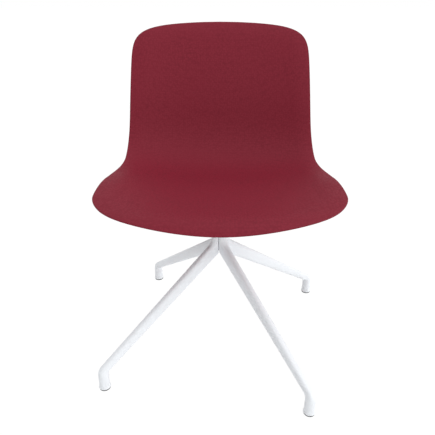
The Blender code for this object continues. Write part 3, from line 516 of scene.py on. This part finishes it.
        nudge = walked[-1] / len(walked)
        tangent = walk(stations + nudge) - walk(stations - nudge)
        tangent /= np.linalg.norm(tangent, axis=1)[:, None]
        tangent[0] = (1.0, 0.0)
        tangent[-1] = (-1.0, 0.0)
        return walk(stations), np.column_stack([-tangent[:, 1], tangent[:, 0]])


def whole_ring(half_ring, inset):
    """Both halves of a ring of the rim as flat points, counterclockwise from the front centre."""
    both = np.concatenate([half_ring, half_ring[-2:0:-1] * (-1.0, 1.0)])
    return np.column_stack([both, np.full(len(both), inset)])


def filled_ring(half_ring, across_faces, along_faces, inset):
    """Flat grid points inside a ring, blended from its front, its top and its two sides."""
    half = across_faces // 2
    mirrored = half_ring * (-1.0, 1.0)
    front = np.concatenate([mirrored[half:0:-1], half_ring[:half + 1]])
    top = np.concatenate([mirrored[half + along_faces:-1], half_ring[:half + along_faces - 1:-1]])
    right = half_ring[half:half + along_faces + 1]
    left = mirrored[half:half + along_faces + 1]
    u = np.linspace(0.0, 1.0, across_faces + 1)[None, :, None]
    v = np.linspace(0.0, 1.0, along_faces + 1)[:, None, None]
    along = (1.0 - v) * front[None] + v * top[None]
    across = (1.0 - u) * left[:, None] + u * right[:, None]
    corners = (1.0 - v) * ((1.0 - u) * front[0] + u * front[-1])
    corners = corners + v * ((1.0 - u) * top[0] + u * top[-1])
    grid = (along + across - corners).reshape(-1, 2)
    return np.column_stack([grid, np.full(len(grid), inset)])


def pull_ring(sheet, last, wanted):
    """Extrude the selected border of a sheet and set the new ring in its place."""
    bpy.ops.mesh.extrude_edges_move()
    leave_edit()
    for vertex in sheet.data.vertices:
        if vertex.select:
            nearest = np.argmin(np.hypot(last[:, 0] - vertex.co.x, last[:, 1] - vertex.co.y))
            vertex.co = wanted[nearest]
    edit("EDGE")


class CHAIR_OT_seat_shell(Operator):
    """Model the one-piece seat and back: cut flat, pulled out to its rim, pressed, and given its wall"""

    bl_idname = "chair.seat_shell"
    bl_label = "Seat shell"

    def execute(self, context):
        s = settings().shell
        fine = settings().fineness
        form = ShellForm(s, fine.line_steps)
        sheet = self.flat_sheet(form, s, fine)
        flat = np.array([vertex.co for vertex in sheet.data.vertices])
        place_points(sheet, form.pressed(flat))
        apply_modifier(sheet, "SOLIDIFY", thickness=s.thickness, offset=-1.0, use_even_offset=True)
        break_edges(sheet, s.rim_round, sharper_than=60.0)
        self.add_bosses(sheet, form, s)
        finished(sheet, "moulded_shell", "seat", "moulded_polypropylene", "shell_polypropylene", "seat_shell")
        return {"FINISHED"}

    def flat_sheet(self, form, s, fine):
        """Grid inside the rolled rim, with ring after ring extruded from its border."""
        rim, inward = form.half_rim(fine.shell_across, fine.shell_along)
        start_clean()
        bpy.ops.mesh.primitive_grid_add(x_subdivisions=fine.shell_across, y_subdivisions=fine.shell_along)
        sheet = bpy.context.object
        inner = rim + inward * s.roll_band
        place_points(sheet, filled_ring(inner, fine.shell_across, fine.shell_along, s.roll_band))
        edit("EDGE")
        bpy.ops.mesh.select_all(action="DESELECT")
        bpy.ops.mesh.select_non_manifold()
        last = whole_ring(inner, s.roll_band)
        for k in range(1, fine.rim_rings + 1):
            inset = s.roll_band * (1.0 - k / fine.rim_rings)
            wanted = whole_ring(rim + inward * inset, inset)
            pull_ring(sheet, last, wanted)
            last = wanted
        leave_edit()
        return sheet

    def add_bosses(self, shell, form, s):
        """Screw bosses that spread where they meet the shell, each bored for its insert."""
        for corner in CORNERS:
            low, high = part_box(f"shell_insert_{corner}")
            centre = middle(f"shell_insert_{corner}")
            face = low.z - FIT
            under = form.height_at(*centre) - s.thickness
            root = s.boss_radius + s.boss_flare
            outside = [(root, under + s.thickness / 2), (root, under)]
            for k in range(1, FLARE_STEPS):
                turn = k / FLARE_STEPS * math.pi / 2
                radius = s.boss_radius + s.boss_flare * (1.0 - math.sin(turn))
                outside.append((radius, under - s.boss_flare_height * (1.0 - math.cos(turn))))
            outside += [(s.boss_radius, under - s.boss_flare_height), (s.boss_radius, face)]
            combine(shell, turned_solid(outside, centre), "UNION")
            insert_radius = settings().swivel.insert_radius
            bore(shell, insert_radius, face - CUT_PAST, high.z + CUT_PAST / 4, centre)


# Plate and swivel


def hexagon(radius, depth, centre, turned_by=0.0):
    """Six-sided prism with upright sides."""
    start_clean()
    bpy.ops.mesh.primitive_cylinder_add(
        vertices=6, radius=radius, depth=depth, location=centre, rotation=(0.0, 0.0, turned_by)
    )
    return settled()


def washer(node, screw_radius):
    """Flat washer with broken edges, in the box of a CAD node."""
    low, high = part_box(node)
    piece = ring(screw_radius + FIT, (high.x - low.x) / 2, low.z, high.z, middle(node))
    break_edges(piece, settings().swivel.edge_round / 2)
    return piece


class CHAIR_OT_seat_plate(Operator):
    """Model the steel plate under the shell, with its round corners, broken edges and holes"""

    bl_idname = "chair.seat_plate"
    bl_label = "Seat plate"

    def execute(self, context):
        s = settings().swivel
        low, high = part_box("seat_plate")
        start_clean()
        bpy.ops.mesh.primitive_cube_add(size=1.0, location=(low + high) / 2, scale=high - low)
        plate = settled()
        edit("EDGE")
        bpy.ops.mesh.select_all(action="DESELECT")
        leave_edit()
        for edge in plate.data.edges:
            first, second = (plate.data.vertices[k].co for k in edge.vertices)
            edge.select = abs(first.z - second.z) > (high.z - low.z) / 2
        edit("EDGE")
        bpy.ops.mesh.bevel(offset=s.plate_corner, segments=12)
        leave_edit()
        break_edges(plate, s.edge_round)
        bottom = low.z - CUT_PAST
        top = high.z + CUT_PAST
        for corner in CORNERS:
            bore(plate, s.screw_radius, bottom, top, middle(f"plate_screw_{corner}"))
        bore(plate, s.stud_radius, bottom, top)
        finished(plate, "pressed_plate", "seat", "powder_coated_steel", "plate_powder_coat", "seat_plate")
        return {"FINISHED"}


class CHAIR_OT_plate_screws(Operator):
    """Model a button head screw with its socket, and its washer, and set copies under the plate"""

    bl_idname = "chair.plate_screws"
    bl_label = "Plate screws"

    def execute(self, context):
        s = settings().swivel
        flat_washer = washer("plate_washer_front_left", s.screw_radius)
        set_in_corners(flat_washer, "flat_washer", "seat", "zinc_plated_steel", "zinc_plate", "plate_washer")
        screw = self.one_screw(s)
        set_in_corners(screw, "button_screw", "seat", "zinc_plated_steel", "zinc_plate", "plate_screw")
        return {"FINISHED"}

    def one_screw(self, s):
        low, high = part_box("plate_screw_front_left")
        centre = middle("plate_screw_front_left")
        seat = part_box("plate_washer_front_left")[0].z - FIT
        outside = [
            (s.screw_radius, high.z),
            (s.screw_radius, seat),
            ((high.x - low.x) / 2, seat),
            (s.head_shoulder, seat - s.head_side),
            (s.head_crown, low.z),
        ]
        screw = turned_solid(outside, centre)
        break_edges(screw, s.edge_round, sharper_than=20.0)
        combine(screw, hexagon(s.socket_radius, 2 * s.socket_depth, (*centre, low.z)), "DIFFERENCE")
        return screw


class CHAIR_OT_spindle(Operator):
    """Model the turned spindle under the plate, and its washer and nut above it"""

    bl_idname = "chair.spindle"
    bl_label = "Spindle"

    def execute(self, context):
        s = settings().swivel
        self.add_spindle(s)
        stud_washer = washer("spindle_washer", s.stud_radius)
        finished(stud_washer, "stud_washer", "seat", "zinc_plated_steel", "zinc_plate", "spindle_washer")
        self.add_nut(s)
        return {"FINISHED"}

    def add_spindle(self, s):
        low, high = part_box("spindle")
        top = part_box("seat_plate")[0].z - FIT
        under_flange = top - s.flange_height
        under_hub = under_flange - s.hub_height
        clip_low, clip_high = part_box("retaining_clip")
        flange_radius = (high.x - low.x) / 2
        outside = [
            (s.stud_radius, high.z),
            (s.stud_radius, top),
            (flange_radius, top),
            (flange_radius, under_flange),
            (s.hub_radius, under_flange),
            (s.hub_radius, under_hub),
            (s.spindle_radius, under_hub),
            (s.spindle_radius, clip_high.z + FIT),
            (s.groove_radius, clip_high.z + FIT),
            (s.groove_radius, clip_low.z - FIT),
            (s.spindle_radius, clip_low.z - FIT),
            (s.spindle_radius, low.z),
        ]
        spindle = turned_solid(outside)
        break_edges(spindle, s.edge_round)
        finished(spindle, "turned_spindle", "seat", "turned_steel", "bright_steel", "spindle")

    def add_nut(self, s):
        """Hexagon nut whose corners are turned off at both ends."""
        low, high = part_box("spindle_nut")
        corner = (high.x - low.x) / 2
        flat = (high.y - low.y) / 2
        corners_along_x = math.radians(30.0)
        chamfer = math.radians(30.0)
        nut = hexagon(corner, high.z - low.z, (*AXIS, (low.z + high.z) / 2), corners_along_x)
        drop = (corner - flat) * math.tan(chamfer) * 2
        wide = corner + FIT
        outside = [(flat, high.z), (wide, high.z - drop), (wide, low.z + drop), (flat, low.z)]
        combine(nut, turned_solid(outside), "INTERSECT")
        bore(nut, s.stud_radius, low.z - CUT_PAST, high.z + CUT_PAST)
        finished(nut, "hexagon_nut", "seat", "zinc_plated_steel", "zinc_plate", "spindle_nut")


class CHAIR_OT_column(Operator):
    """Model the column tube with its cap, and the plug that closes it from below"""

    bl_idname = "chair.column"
    bl_label = "Column"

    def execute(self, context):
        s = settings().swivel
        low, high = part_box("column_core")
        cap_radius = (high.x - low.x) / 2
        cap_bottom = high.z - s.cap_thickness
        profile = [
            (s.tube_bore, high.z),
            (cap_radius, high.z),
            (cap_radius, cap_bottom),
            (s.tube_radius, cap_bottom),
            (s.tube_radius, low.z),
            (s.tube_bore, low.z),
        ]
        core = turn_profile(profile, closed=True)
        break_edges(core, s.edge_round)
        self.sink_screws(core, s, high.z, cap_bottom)
        finished(core, "column_tube", "base", "powder_coated_aluminium", "leg_powder_coat", "column_core")
        self.add_plug(s)
        return {"FINISHED"}

    def sink_screws(self, core, s, top, bottom):
        """Countersunk holes in the cap for the leg screws."""
        head = s.leg_screw_head + 2 * FIT
        shank = s.leg_screw_radius + FIT
        for corner in CORNERS:
            hole = [
                (head, top + CUT_PAST),
                (head, top - FIT),
                (shank, top - FIT - (head - shank)),
                (shank, bottom - CUT_PAST),
            ]
            combine(core, turned_solid(hole, middle(f"leg_screw_{corner}")), "DIFFERENCE")

    def add_plug(self, s):
        low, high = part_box("column_plug")
        rim_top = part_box("column_core")[0].z - FIT
        rim = (high.x - low.x) / 2
        shaft = s.tube_bore - FIT
        outside = [
            (shaft, high.z),
            (shaft, rim_top),
            (rim, rim_top),
            (rim, (rim_top + low.z) / 2),
            (rim - (rim_top - low.z), low.z),
        ]
        plug = turned_solid(outside)
        break_edges(plug, s.edge_round)
        finished(plug, "tube_plug", "base", "moulded_nylon", "nylon_grey", "column_plug")


# Legs and glides


def rounded_corner(before, corner, after, radius, steps):
    """Points of an arc that rounds the corner of a bent line."""
    to_before = (Vector(before) - Vector(corner)).normalized()
    to_after = (Vector(after) - Vector(corner)).normalized()
    half = to_before.angle(to_after) / 2
    centre = Vector(corner) + (to_before + to_after).normalized() * radius / math.sin(half)
    start = Vector(corner) + to_before * radius / math.tan(half) - centre
    end = Vector(corner) + to_after * radius / math.tan(half) - centre
    sweep = math.pi - 2 * half
    points = []
    for k in range(steps + 1):
        t = k / steps
        spoke = (start * math.sin((1.0 - t) * sweep) + end * math.sin(t * sweep)) / math.sin(sweep)
        points.append(centre + spoke)
    return points


class LegForm:
    """Works out the oval sections of a leg that stands along +X."""

    def __init__(self, sizes, fine, foot_reach, foot_bottom, stem_top):
        self.s = sizes
        self.fine = fine
        self.foot_reach = foot_reach
        self.foot_bottom = foot_bottom
        self.stem_top = stem_top

    def top_at(self, reach):
        return self.s.root_top - (reach - self.s.root_reach) * math.tan(self.s.top_fall)

    def bottom_at(self, reach):
        return self.s.root_bottom - (reach - self.s.root_reach) * math.tan(self.s.bottom_fall)

    def stations(self):
        """Upper point, lower point, width and squareness of each section, from the stem to the foot."""
        s = self.s
        bend = self.fine.leg_bend
        outer = self.foot_reach + s.foot_radius
        inner = self.foot_reach - s.foot_radius
        half_way = self.foot_reach / 2
        above = (half_way, self.top_at(half_way))
        below = (half_way, self.bottom_at(half_way))
        flare_top = self.foot_bottom + s.flare_height
        crotch = (s.column_radius, self.top_at(s.column_radius))
        heel = (-s.stem_lap, self.bottom_at(-s.stem_lap))
        crotches = rounded_corner((s.column_radius, self.stem_top), crotch, above, s.crotch_round, bend)
        heels = rounded_corner((-s.stem_lap, self.stem_top), heel, below, s.heel_round, bend)
        knees = rounded_corner(above, (outer, self.top_at(outer)), (outer, flare_top), s.knee_round, bend)
        hollow = (inner, self.bottom_at(inner))
        hollows = rounded_corner(below, hollow, (inner, flare_top), s.hollow_round, bend)
        stem = (Vector((s.column_radius, self.stem_top)), Vector((-s.stem_lap, self.stem_top)))
        stations = [(*stem, s.stem_width, OVAL)]
        for k in range(bend + 1):
            t = k / bend
            width = blend(s.stem_width, s.root_width, t)
            stations.append((crotches[k], heels[k], width, blend(OVAL, s.arm_power, t)))
        for k in range(1, self.fine.leg_arm):
            t = k / self.fine.leg_arm
            upper = crotches[-1].lerp(knees[0], t)
            lower = heels[-1].lerp(hollows[0], t)
            stations.append((upper, lower, blend(s.root_width, s.end_width, t), s.arm_power))
        for k in range(bend + 1):
            t = k / bend
            width = blend(s.end_width, 2 * s.foot_radius, t)
            stations.append((knees[k], hollows[k], width, blend(s.arm_power, OVAL, t)))
        for k in range(self.fine.foot_flare):
            t = k / self.fine.foot_flare
            radius = blend(s.foot_radius, s.flare_radius, t * t)
            stations.append(self.foot_section(radius, flare_top - (s.flare_height - s.foot_edge) * t))
        # The rounded lower edge of the foot, in three steps
        for turn in (0.0, 30.0, 60.0, 90.0):
            out = s.flare_radius - s.foot_edge * (1.0 - math.cos(math.radians(turn)))
            height = self.foot_bottom + s.foot_edge * (1.0 - math.sin(math.radians(turn)))
            stations.append(self.foot_section(out, height))
        return stations

    def foot_section(self, radius, height):
        outer = Vector((self.foot_reach + radius, height))
        inner = Vector((self.foot_reach - radius, height))
        return outer, inner, 2 * radius, OVAL

    def points(self):
        """Points of every section, each one closed by its first point again."""
        points = []
        for upper, lower, width, power in self.stations():
            centre = (upper + lower) / 2
            half = (upper - lower) / 2
            for k in range(self.fine.leg_round + 1):
                turn = math.tau * (k % self.fine.leg_round) / self.fine.leg_round
                up = math.copysign(abs(math.sin(turn)) ** (OVAL / power), math.sin(turn))
                out = math.copysign(abs(math.cos(turn)) ** (OVAL / power), math.cos(turn))
                reach, height = centre + half * up
                points.append((reach, width / 2 * out, height))
        return points


class CHAIR_OT_legs(Operator):
    """Model one cast leg, mitred to its neighbours, and set a copy in each corner"""

    bl_idname = "chair.legs"
    bl_label = "Legs"

    def execute(self, context):
        leg = self.one_leg()
        for corner in CORNERS:
            x, y = middle(f"glide_{corner}")
            copy = copied(leg)
            copy.data.transform(Matrix.Rotation(math.atan2(y, x), 4, "Z"))
            node = f"leg_{corner}"
            finished(copy, f"cast_{node}", "base", "powder_coated_aluminium", "leg_powder_coat", node)
        removed(leg)
        return {"FINISHED"}

    def one_leg(self):
        s = settings().leg
        swivel = settings().swivel
        fine = settings().fineness
        foot_reach = math.hypot(*middle("glide_front_left"))
        low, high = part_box("leg_front_left")
        form = LegForm(s, fine, foot_reach, low.z, high.z)
        points = form.points()
        rows = len(points) // (fine.leg_round + 1)
        start_clean()
        bpy.ops.mesh.primitive_grid_add(x_subdivisions=fine.leg_round, y_subdivisions=rows - 1)
        leg = bpy.context.object
        place_points(leg, points)
        edit()
        weld()
        bpy.ops.mesh.fill_holes(sides=0)
        bpy.ops.mesh.select_all(action="SELECT")
        bpy.ops.mesh.normals_make_consistent(inside=False)
        self.mitre(leg, s)
        leave_edit()
        bore(leg, swivel.tube_radius, low.z + CUT_PAST, high.z + CUT_PAST)
        screw_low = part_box("leg_screw_front_left")[0].z
        screw_at = (math.hypot(*middle("leg_screw_front_left")), 0.0)
        bore(leg, swivel.leg_screw_radius, screw_low - CUT_PAST, high.z + CUT_PAST, screw_at)
        stem_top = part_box("glide_front_left")[1].z
        bore(leg, swivel.glide_stem, low.z - CUT_PAST, stem_top + FIT, (foot_reach, 0.0))
        return leg

    def mitre(self, leg, s):
        """Cut the stem to a quarter of the column, then break the two outer edges of the cut."""
        apex = s.seam_gap / math.sqrt(2.0)
        for side in (1.0, -1.0):
            bpy.ops.mesh.select_all(action="SELECT")
            bpy.ops.mesh.bisect(
                plane_co=(apex, 0.0, 0.0), plane_no=(-1.0, side, 0.0), use_fill=True, clear_outer=True
            )
        leave_edit()
        stem = [v.co for v in leg.data.vertices if v.co.x < s.column_radius and v.co.z > s.root_top]
        edge = max(abs(point.y) for point in stem) - s.seam_cut
        for side in (1.0, -1.0):
            # Only the stem and the root of the arm are cut
            for vertex in leg.data.vertices:
                vertex.select = vertex.co.x < 2 * s.column_radius
            for line in leg.data.edges:
                line.select = all(leg.data.vertices[k].select for k in line.vertices)
            for face in leg.data.polygons:
                face.select = all(leg.data.vertices[k].select for k in face.vertices)
            edit()
            bpy.ops.mesh.bisect(
                plane_co=(0.0, side * edge, 0.0), plane_no=(0.0, side, 0.0), use_fill=True, clear_outer=True
            )
            leave_edit()
        edit()


class CHAIR_OT_glides(Operator):
    """Model a nylon glide, and set a copy under each foot"""

    bl_idname = "chair.glides"
    bl_label = "Glides"

    def execute(self, context):
        s = settings().swivel
        low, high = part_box("glide_front_left")
        radius = (high.x - low.x) / 2
        top = low.z + s.glide_height
        outside = [(s.glide_stem, high.z), (s.glide_stem, top), (radius, top), (radius, low.z)]
        glide = turned_solid(outside, middle("glide_front_left"))
        break_edges(glide, s.edge_round)
        set_in_corners(glide, "nylon_glide", "base", "moulded_nylon", "nylon_grey", "glide")
        return {"FINISHED"}


class CHAIR_OT_inner_pieces(Operator):
    """Finish the pieces inside the swivel, which are shown as the CAD has them"""

    bl_idname = "chair.inner_pieces"
    bl_label = "Inner pieces"

    def execute(self, context):
        finishes = {
            "machined_brass": [f"shell_insert_{corner}" for corner in CORNERS],
            "zinc_plated_steel": ["retaining_washer", *[f"leg_screw_{corner}" for corner in CORNERS]],
            "turned_steel": ["retaining_clip"],
            "machined_acetal": ["upper_bush", "lower_bush", "thrust_washer"],
        }
        for finish, nodes in finishes.items():
            for node in nodes:
                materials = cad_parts[node].data.materials
                materials.clear()
                materials.append(finish_named(finish))
        return {"FINISHED"}


# Finishes


def add_node(tree, kind, inputs=None, **options):
    """Add a node, set its options, and fill each input with a value or a link."""
    node = tree.nodes.new(kind)
    for option, value in options.items():
        setattr(node, option, value)
    for socket, value in (inputs or {}).items():
        if isinstance(value, bpy.types.NodeSocket):
            tree.links.new(value, node.inputs[socket])
        else:
            node.inputs[socket].default_value = value
    return node


def per_metre(millimetres):
    """Scale of a texture whose features are this far apart."""
    return 1.0 / (millimetres * MILLIMETRE)


def shade(tone, factor):
    return (*[min(channel * factor, 1.0) for channel in tone[:3]], 1.0)


def empty_material(name):
    material = bpy.data.materials.new(name)
    material.use_nodes = True
    material.node_tree.nodes.clear()
    return material, material.node_tree


def mixed_tones(tree, factor, first, second):
    inputs = {"Factor": factor, "A": first, "B": second}
    return add_node(tree, "ShaderNodeMix", inputs, data_type="RGBA").outputs["Result"]


def close_material(tree, tone, gloss, normal, others):
    inputs = {"Base Color": tone, "Roughness": gloss, "Normal": normal, **others}
    shader = add_node(tree, "ShaderNodeBsdfPrincipled", inputs)
    add_node(tree, "ShaderNodeOutputMaterial", {"Surface": shader.outputs["BSDF"]})


def moulded_polypropylene():
    """Polypropylene from an eroded mould: matte, with an even pebble grain in its tone and its gloss."""
    material, tree = empty_material("moulded_polypropylene")
    tone = settings().colours.shell_red
    place = add_node(tree, "ShaderNodeTexCoord").outputs["Object"]
    # The real pebbles are about 1 mm wide. They are drawn at 5 mm, so that they show in the render
    pebbles = {"Vector": place, "Scale": per_metre(5.0), "Randomness": 0.7}
    grain = add_node(tree, "ShaderNodeTexVoronoi", pebbles).outputs["Distance"]
    speckle = mixed_tones(tree, grain, shade(tone, 1.22), shade(tone, 0.76))
    # Slight clouding of the pigment over the width of a hand
    clouds = {"Vector": place, "Scale": per_metre(90.0), "Detail": 1.0}
    cloud = add_node(tree, "ShaderNodeTexNoise", clouds).outputs["Fac"]
    pigment = mixed_tones(tree, cloud, speckle, shade(tone, 1.03))
    spread = {"Value": grain, "From Min": 0.1, "From Max": 0.7, "To Min": 0.60, "To Max": 0.72}
    gloss = add_node(tree, "ShaderNodeMapRange", spread).outputs["Result"]
    relief = {"Height": grain, "Strength": 0.2, "Distance": 0.5 * MILLIMETRE}
    normal = add_node(tree, "ShaderNodeBump", relief, invert=True).outputs["Normal"]
    close_material(tree, pigment, gloss, normal, {"IOR": 1.49, "Specular IOR Level": 0.36})
    return material


def textured(name, look, colour_name, roughness, width_mm, depth_mm, stretch=(1.0, 1.0, 1.0)):
    """Finish whose tone, gloss and relief follow one fine noise, as far as its look lets them."""
    material, tree = empty_material(name)
    tone = getattr(settings().colours, colour_name)
    place = add_node(tree, "ShaderNodeTexCoord").outputs["Object"]
    laid = add_node(tree, "ShaderNodeMapping", {"Vector": place, "Scale": stretch}).outputs["Vector"]
    noise = {"Vector": laid, "Scale": per_metre(width_mm), "Detail": look["detail"]}
    marks = add_node(tree, "ShaderNodeTexNoise", noise).outputs["Fac"]
    tones = mixed_tones(tree, marks, *[shade(tone, factor) for factor in look["shades"]])
    spread = {"Value": marks, "To Min": roughness - look["gloss"], "To Max": roughness + look["gloss"]}
    gloss = add_node(tree, "ShaderNodeMapRange", spread).outputs["Result"]
    relief = {"Height": marks, "Strength": look["relief"], "Distance": depth_mm * MILLIMETRE}
    normal = add_node(tree, "ShaderNodeBump", relief).outputs["Normal"]
    close_material(tree, tones, gloss, normal, look["shader"])
    return material


# Powder coat: a closed, satin film with the soft waviness of orange peel
POWDER_COAT = dict(detail=1.5, shades=(0.993, 1.007), gloss=0.04, relief=0.3, shader={"IOR": 1.5})
# Bare or plated metal: bright, with fine tool marks that spread its highlights
WORKED_METAL = dict(detail=3.0, shades=(0.92, 1.05), gloss=0.08, relief=0.15, shader={"Metallic": 1.0})
# Engineering plastic: dull, with a faint skin from the mould or the tool
PLAIN_PLASTIC = dict(detail=2.0, shades=(0.93, 1.06), gloss=0.06, relief=0.25, shader={"IOR": 1.53})
# A lathe's marks are long across the axis and close together along it
LATHE_RINGS = (0.02, 0.02, 1.0)

# Each textured finish: look, colour, roughness, width and depth of the texture in mm, and any stretch of it
TEXTURED = {
    # Die-cast legs under a smooth white coat
    "powder_coated_aluminium": (POWDER_COAT, "leg_white", 0.36, 3.0, 0.007),
    # Plate under a black coat with a coarser, duller skin
    "powder_coated_steel": (POWDER_COAT, "plate_black", 0.52, 1.5, 0.10),
    # Lathe-turned steel, with rings round its upright axis
    "turned_steel": (WORKED_METAL, "steel", 0.30, 0.8, 0.03, LATHE_RINGS),
    # Plated fasteners, slightly cloudy
    "zinc_plated_steel": (WORKED_METAL, "zinc", 0.36, 1.2, 0.03),
    # Inserts with fine turning rings
    "machined_brass": (WORKED_METAL, "brass", 0.32, 0.8, 0.03, LATHE_RINGS),
    # Dark glides and plug, scuffed dull
    "moulded_nylon": (PLAIN_PLASTIC, "nylon_grey", 0.55, 1.5, 0.05),
    # Off-white bushes and thrust washer, waxy and smooth
    "machined_acetal": (PLAIN_PLASTIC, "acetal_white", 0.40, 2.5, 0.05),
}


def finish_named(name):
    """The finish of that name, made when a piece first asks for it."""
    made = bpy.data.materials.get(name)
    if made:
        return made
    return textured(name, *TEXTURED[name]) if name in TEXTURED else moulded_polypropylene()


# Stage

# Each soft light: the setting of its strength, its bearing from the right round to the front, its height,
# and the angle from its middle at which it has faded out
SOFT_LIGHTS = (
    ("right_light", 0.0, 35.0, 57.0),
    ("corner_light", 45.0, 20.0, 37.0),
    ("front_light", 90.0, 20.0, 37.0),
    ("high_light", 180.0, 65.0, 57.0),
    ("rear_light", -90.0, 65.0, 57.0),
)


class CHAIR_OT_stage(Operator):
    """Set up the pale floor, the white surroundings, the soft light and the camera"""

    bl_idname = "chair.stage"
    bl_label = "Stage"

    def execute(self, context):
        s = settings().stage
        context.scene.view_settings.view_transform = "Standard"
        self.add_floor(s)
        self.add_world(context, s)
        self.add_camera(context, s)
        return {"FINISHED"}

    def shows_background(self, tree):
        """1 for rays to which the surroundings show plain white: from the camera, in gloss, through glass."""
        path = add_node(tree, "ShaderNodeLightPath").outputs
        shows = path["Is Camera Ray"]
        for kind in ("Is Glossy Ray", "Is Transmission Ray"):
            either = add_node(tree, "ShaderNodeMath", {0: shows, 1: path[kind]}, operation="MAXIMUM")
            shows = either.outputs["Value"]
        return shows

    def add_floor(self, s):
        start_clean()
        bpy.ops.mesh.primitive_plane_add(size=s.floor_width, location=(0.0, 0.0, -FIT))
        floor = settled()
        floor.name = "studio_floor"
        material, tree = empty_material("studio_floor")
        # The glow is no lamp: sampling it as one would leave specks on the legs
        material.cycles.emission_sampling = "NONE"
        white = add_node(tree, "ShaderNodeBsdfDiffuse", {"Color": settings().colours.floor_white})
        glow = add_node(tree, "ShaderNodeEmission", {"Color": WHITE, "Strength": s.floor_glow})
        # As background the floor is mostly plain white, and keeps a trace of the chair's shadow
        shaders = {0: s.shadow_trace, 1: glow.outputs[0], 2: white.outputs[0]}
        faint = add_node(tree, "ShaderNodeMixShader", shaders)
        shaders = {0: self.shows_background(tree), 1: white.outputs[0], 2: faint.outputs[0]}
        mixed = add_node(tree, "ShaderNodeMixShader", shaders)
        add_node(tree, "ShaderNodeOutputMaterial", {"Surface": mixed.outputs[0]})
        floor.data.materials.append(material)

    def add_world(self, context, s):
        world = bpy.data.worlds.new("white_studio")
        context.scene.world = world
        world.use_nodes = True
        tree = world.node_tree
        tree.nodes.clear()
        direction = add_node(tree, "ShaderNodeTexCoord").outputs["Generated"]
        glow = 0.0
        for light, bearing, height, spread in SOFT_LIGHTS:
            turn = math.radians(bearing)
            rise = math.radians(height)
            towards = (math.cos(rise) * math.cos(turn), -math.cos(rise) * math.sin(turn), math.sin(rise))
            ways = {0: direction, 1: towards}
            facing = add_node(tree, "ShaderNodeVectorMath", ways, operation="DOT_PRODUCT").outputs["Value"]
            fade = {"Value": facing, "From Min": math.cos(math.radians(spread)), "To Max": getattr(s, light)}
            patch = add_node(tree, "ShaderNodeMapRange", fade, interpolation_type="SMOOTHSTEP")
            glow = add_node(tree, "ShaderNodeMath", {0: glow, 1: patch.outputs["Result"]}).outputs["Value"]
        # Past the floor the surroundings are as white as it is, also in gloss
        strengths = {"Value": self.shows_background(tree), "To Min": glow, "To Max": 1.0}
        strength = add_node(tree, "ShaderNodeMapRange", strengths).outputs["Result"]
        light = add_node(tree, "ShaderNodeBackground", {"Color": WHITE, "Strength": strength})
        add_node(tree, "ShaderNodeOutputWorld", {"Surface": light.outputs[0]})

    def add_camera(self, context, s):
        start_clean()
        bpy.ops.object.camera_add(
            location=(0.0, -s.camera_back, s.camera_height),
            rotation=(math.pi / 2 - s.camera_tilt, 0.0, s.camera_turn),
        )
        camera = bpy.context.object
        camera.data.sensor_width = 36.0
        camera.data.lens = s.camera_lens
        context.scene.camera = camera


class CHAIR_PT_sidebar(Panel):
    """The chair's pieces and sizes in the sidebar"""

    bl_idname = "CHAIR_PT_sidebar"
    bl_label = "Visitor chair"
    bl_space_type = "VIEW_3D"
    bl_region_type = "UI"
    bl_category = "Visitor chair"

    def draw(self, context):
        for operator in PIECES:
            self.layout.operator(operator.bl_idname)
        for group in settings().bl_rna.properties:
            if group.type != "POINTER" or group.identifier == "rna_type":
                continue
            box = self.layout.box()
            box.label(text=group.name)
            sizes = getattr(settings(), group.identifier)
            for name in sizes.__annotations__:
                box.prop(sizes, name)


PIECES = (
    CHAIR_OT_seat_shell,
    CHAIR_OT_seat_plate,
    CHAIR_OT_plate_screws,
    CHAIR_OT_spindle,
    CHAIR_OT_column,
    CHAIR_OT_legs,
    CHAIR_OT_glides,
    CHAIR_OT_inner_pieces,
    CHAIR_OT_stage,
)
GROUPS = (ShellSizes, LegSizes, SwivelSizes, Fineness, Colours, StageSizes, ChairSettings)


def register():
    for each in (*GROUPS, *PIECES, CHAIR_PT_sidebar):
        bpy.utils.register_class(each)
    bpy.types.Scene.visitor_chair = PointerProperty(type=ChairSettings)


def unregister():
    del bpy.types.Scene.visitor_chair
    for each in reversed((*GROUPS, *PIECES, CHAIR_PT_sidebar)):
        bpy.utils.unregister_class(each)


def main():
    register()
    bpy.ops.chair.seat_shell()
    bpy.ops.chair.seat_plate()
    bpy.ops.chair.plate_screws()
    bpy.ops.chair.spindle()
    bpy.ops.chair.column()
    bpy.ops.chair.legs()
    bpy.ops.chair.glides()
    bpy.ops.chair.inner_pieces()
    bpy.ops.chair.stage()


if __name__ == "__main__":
    main()
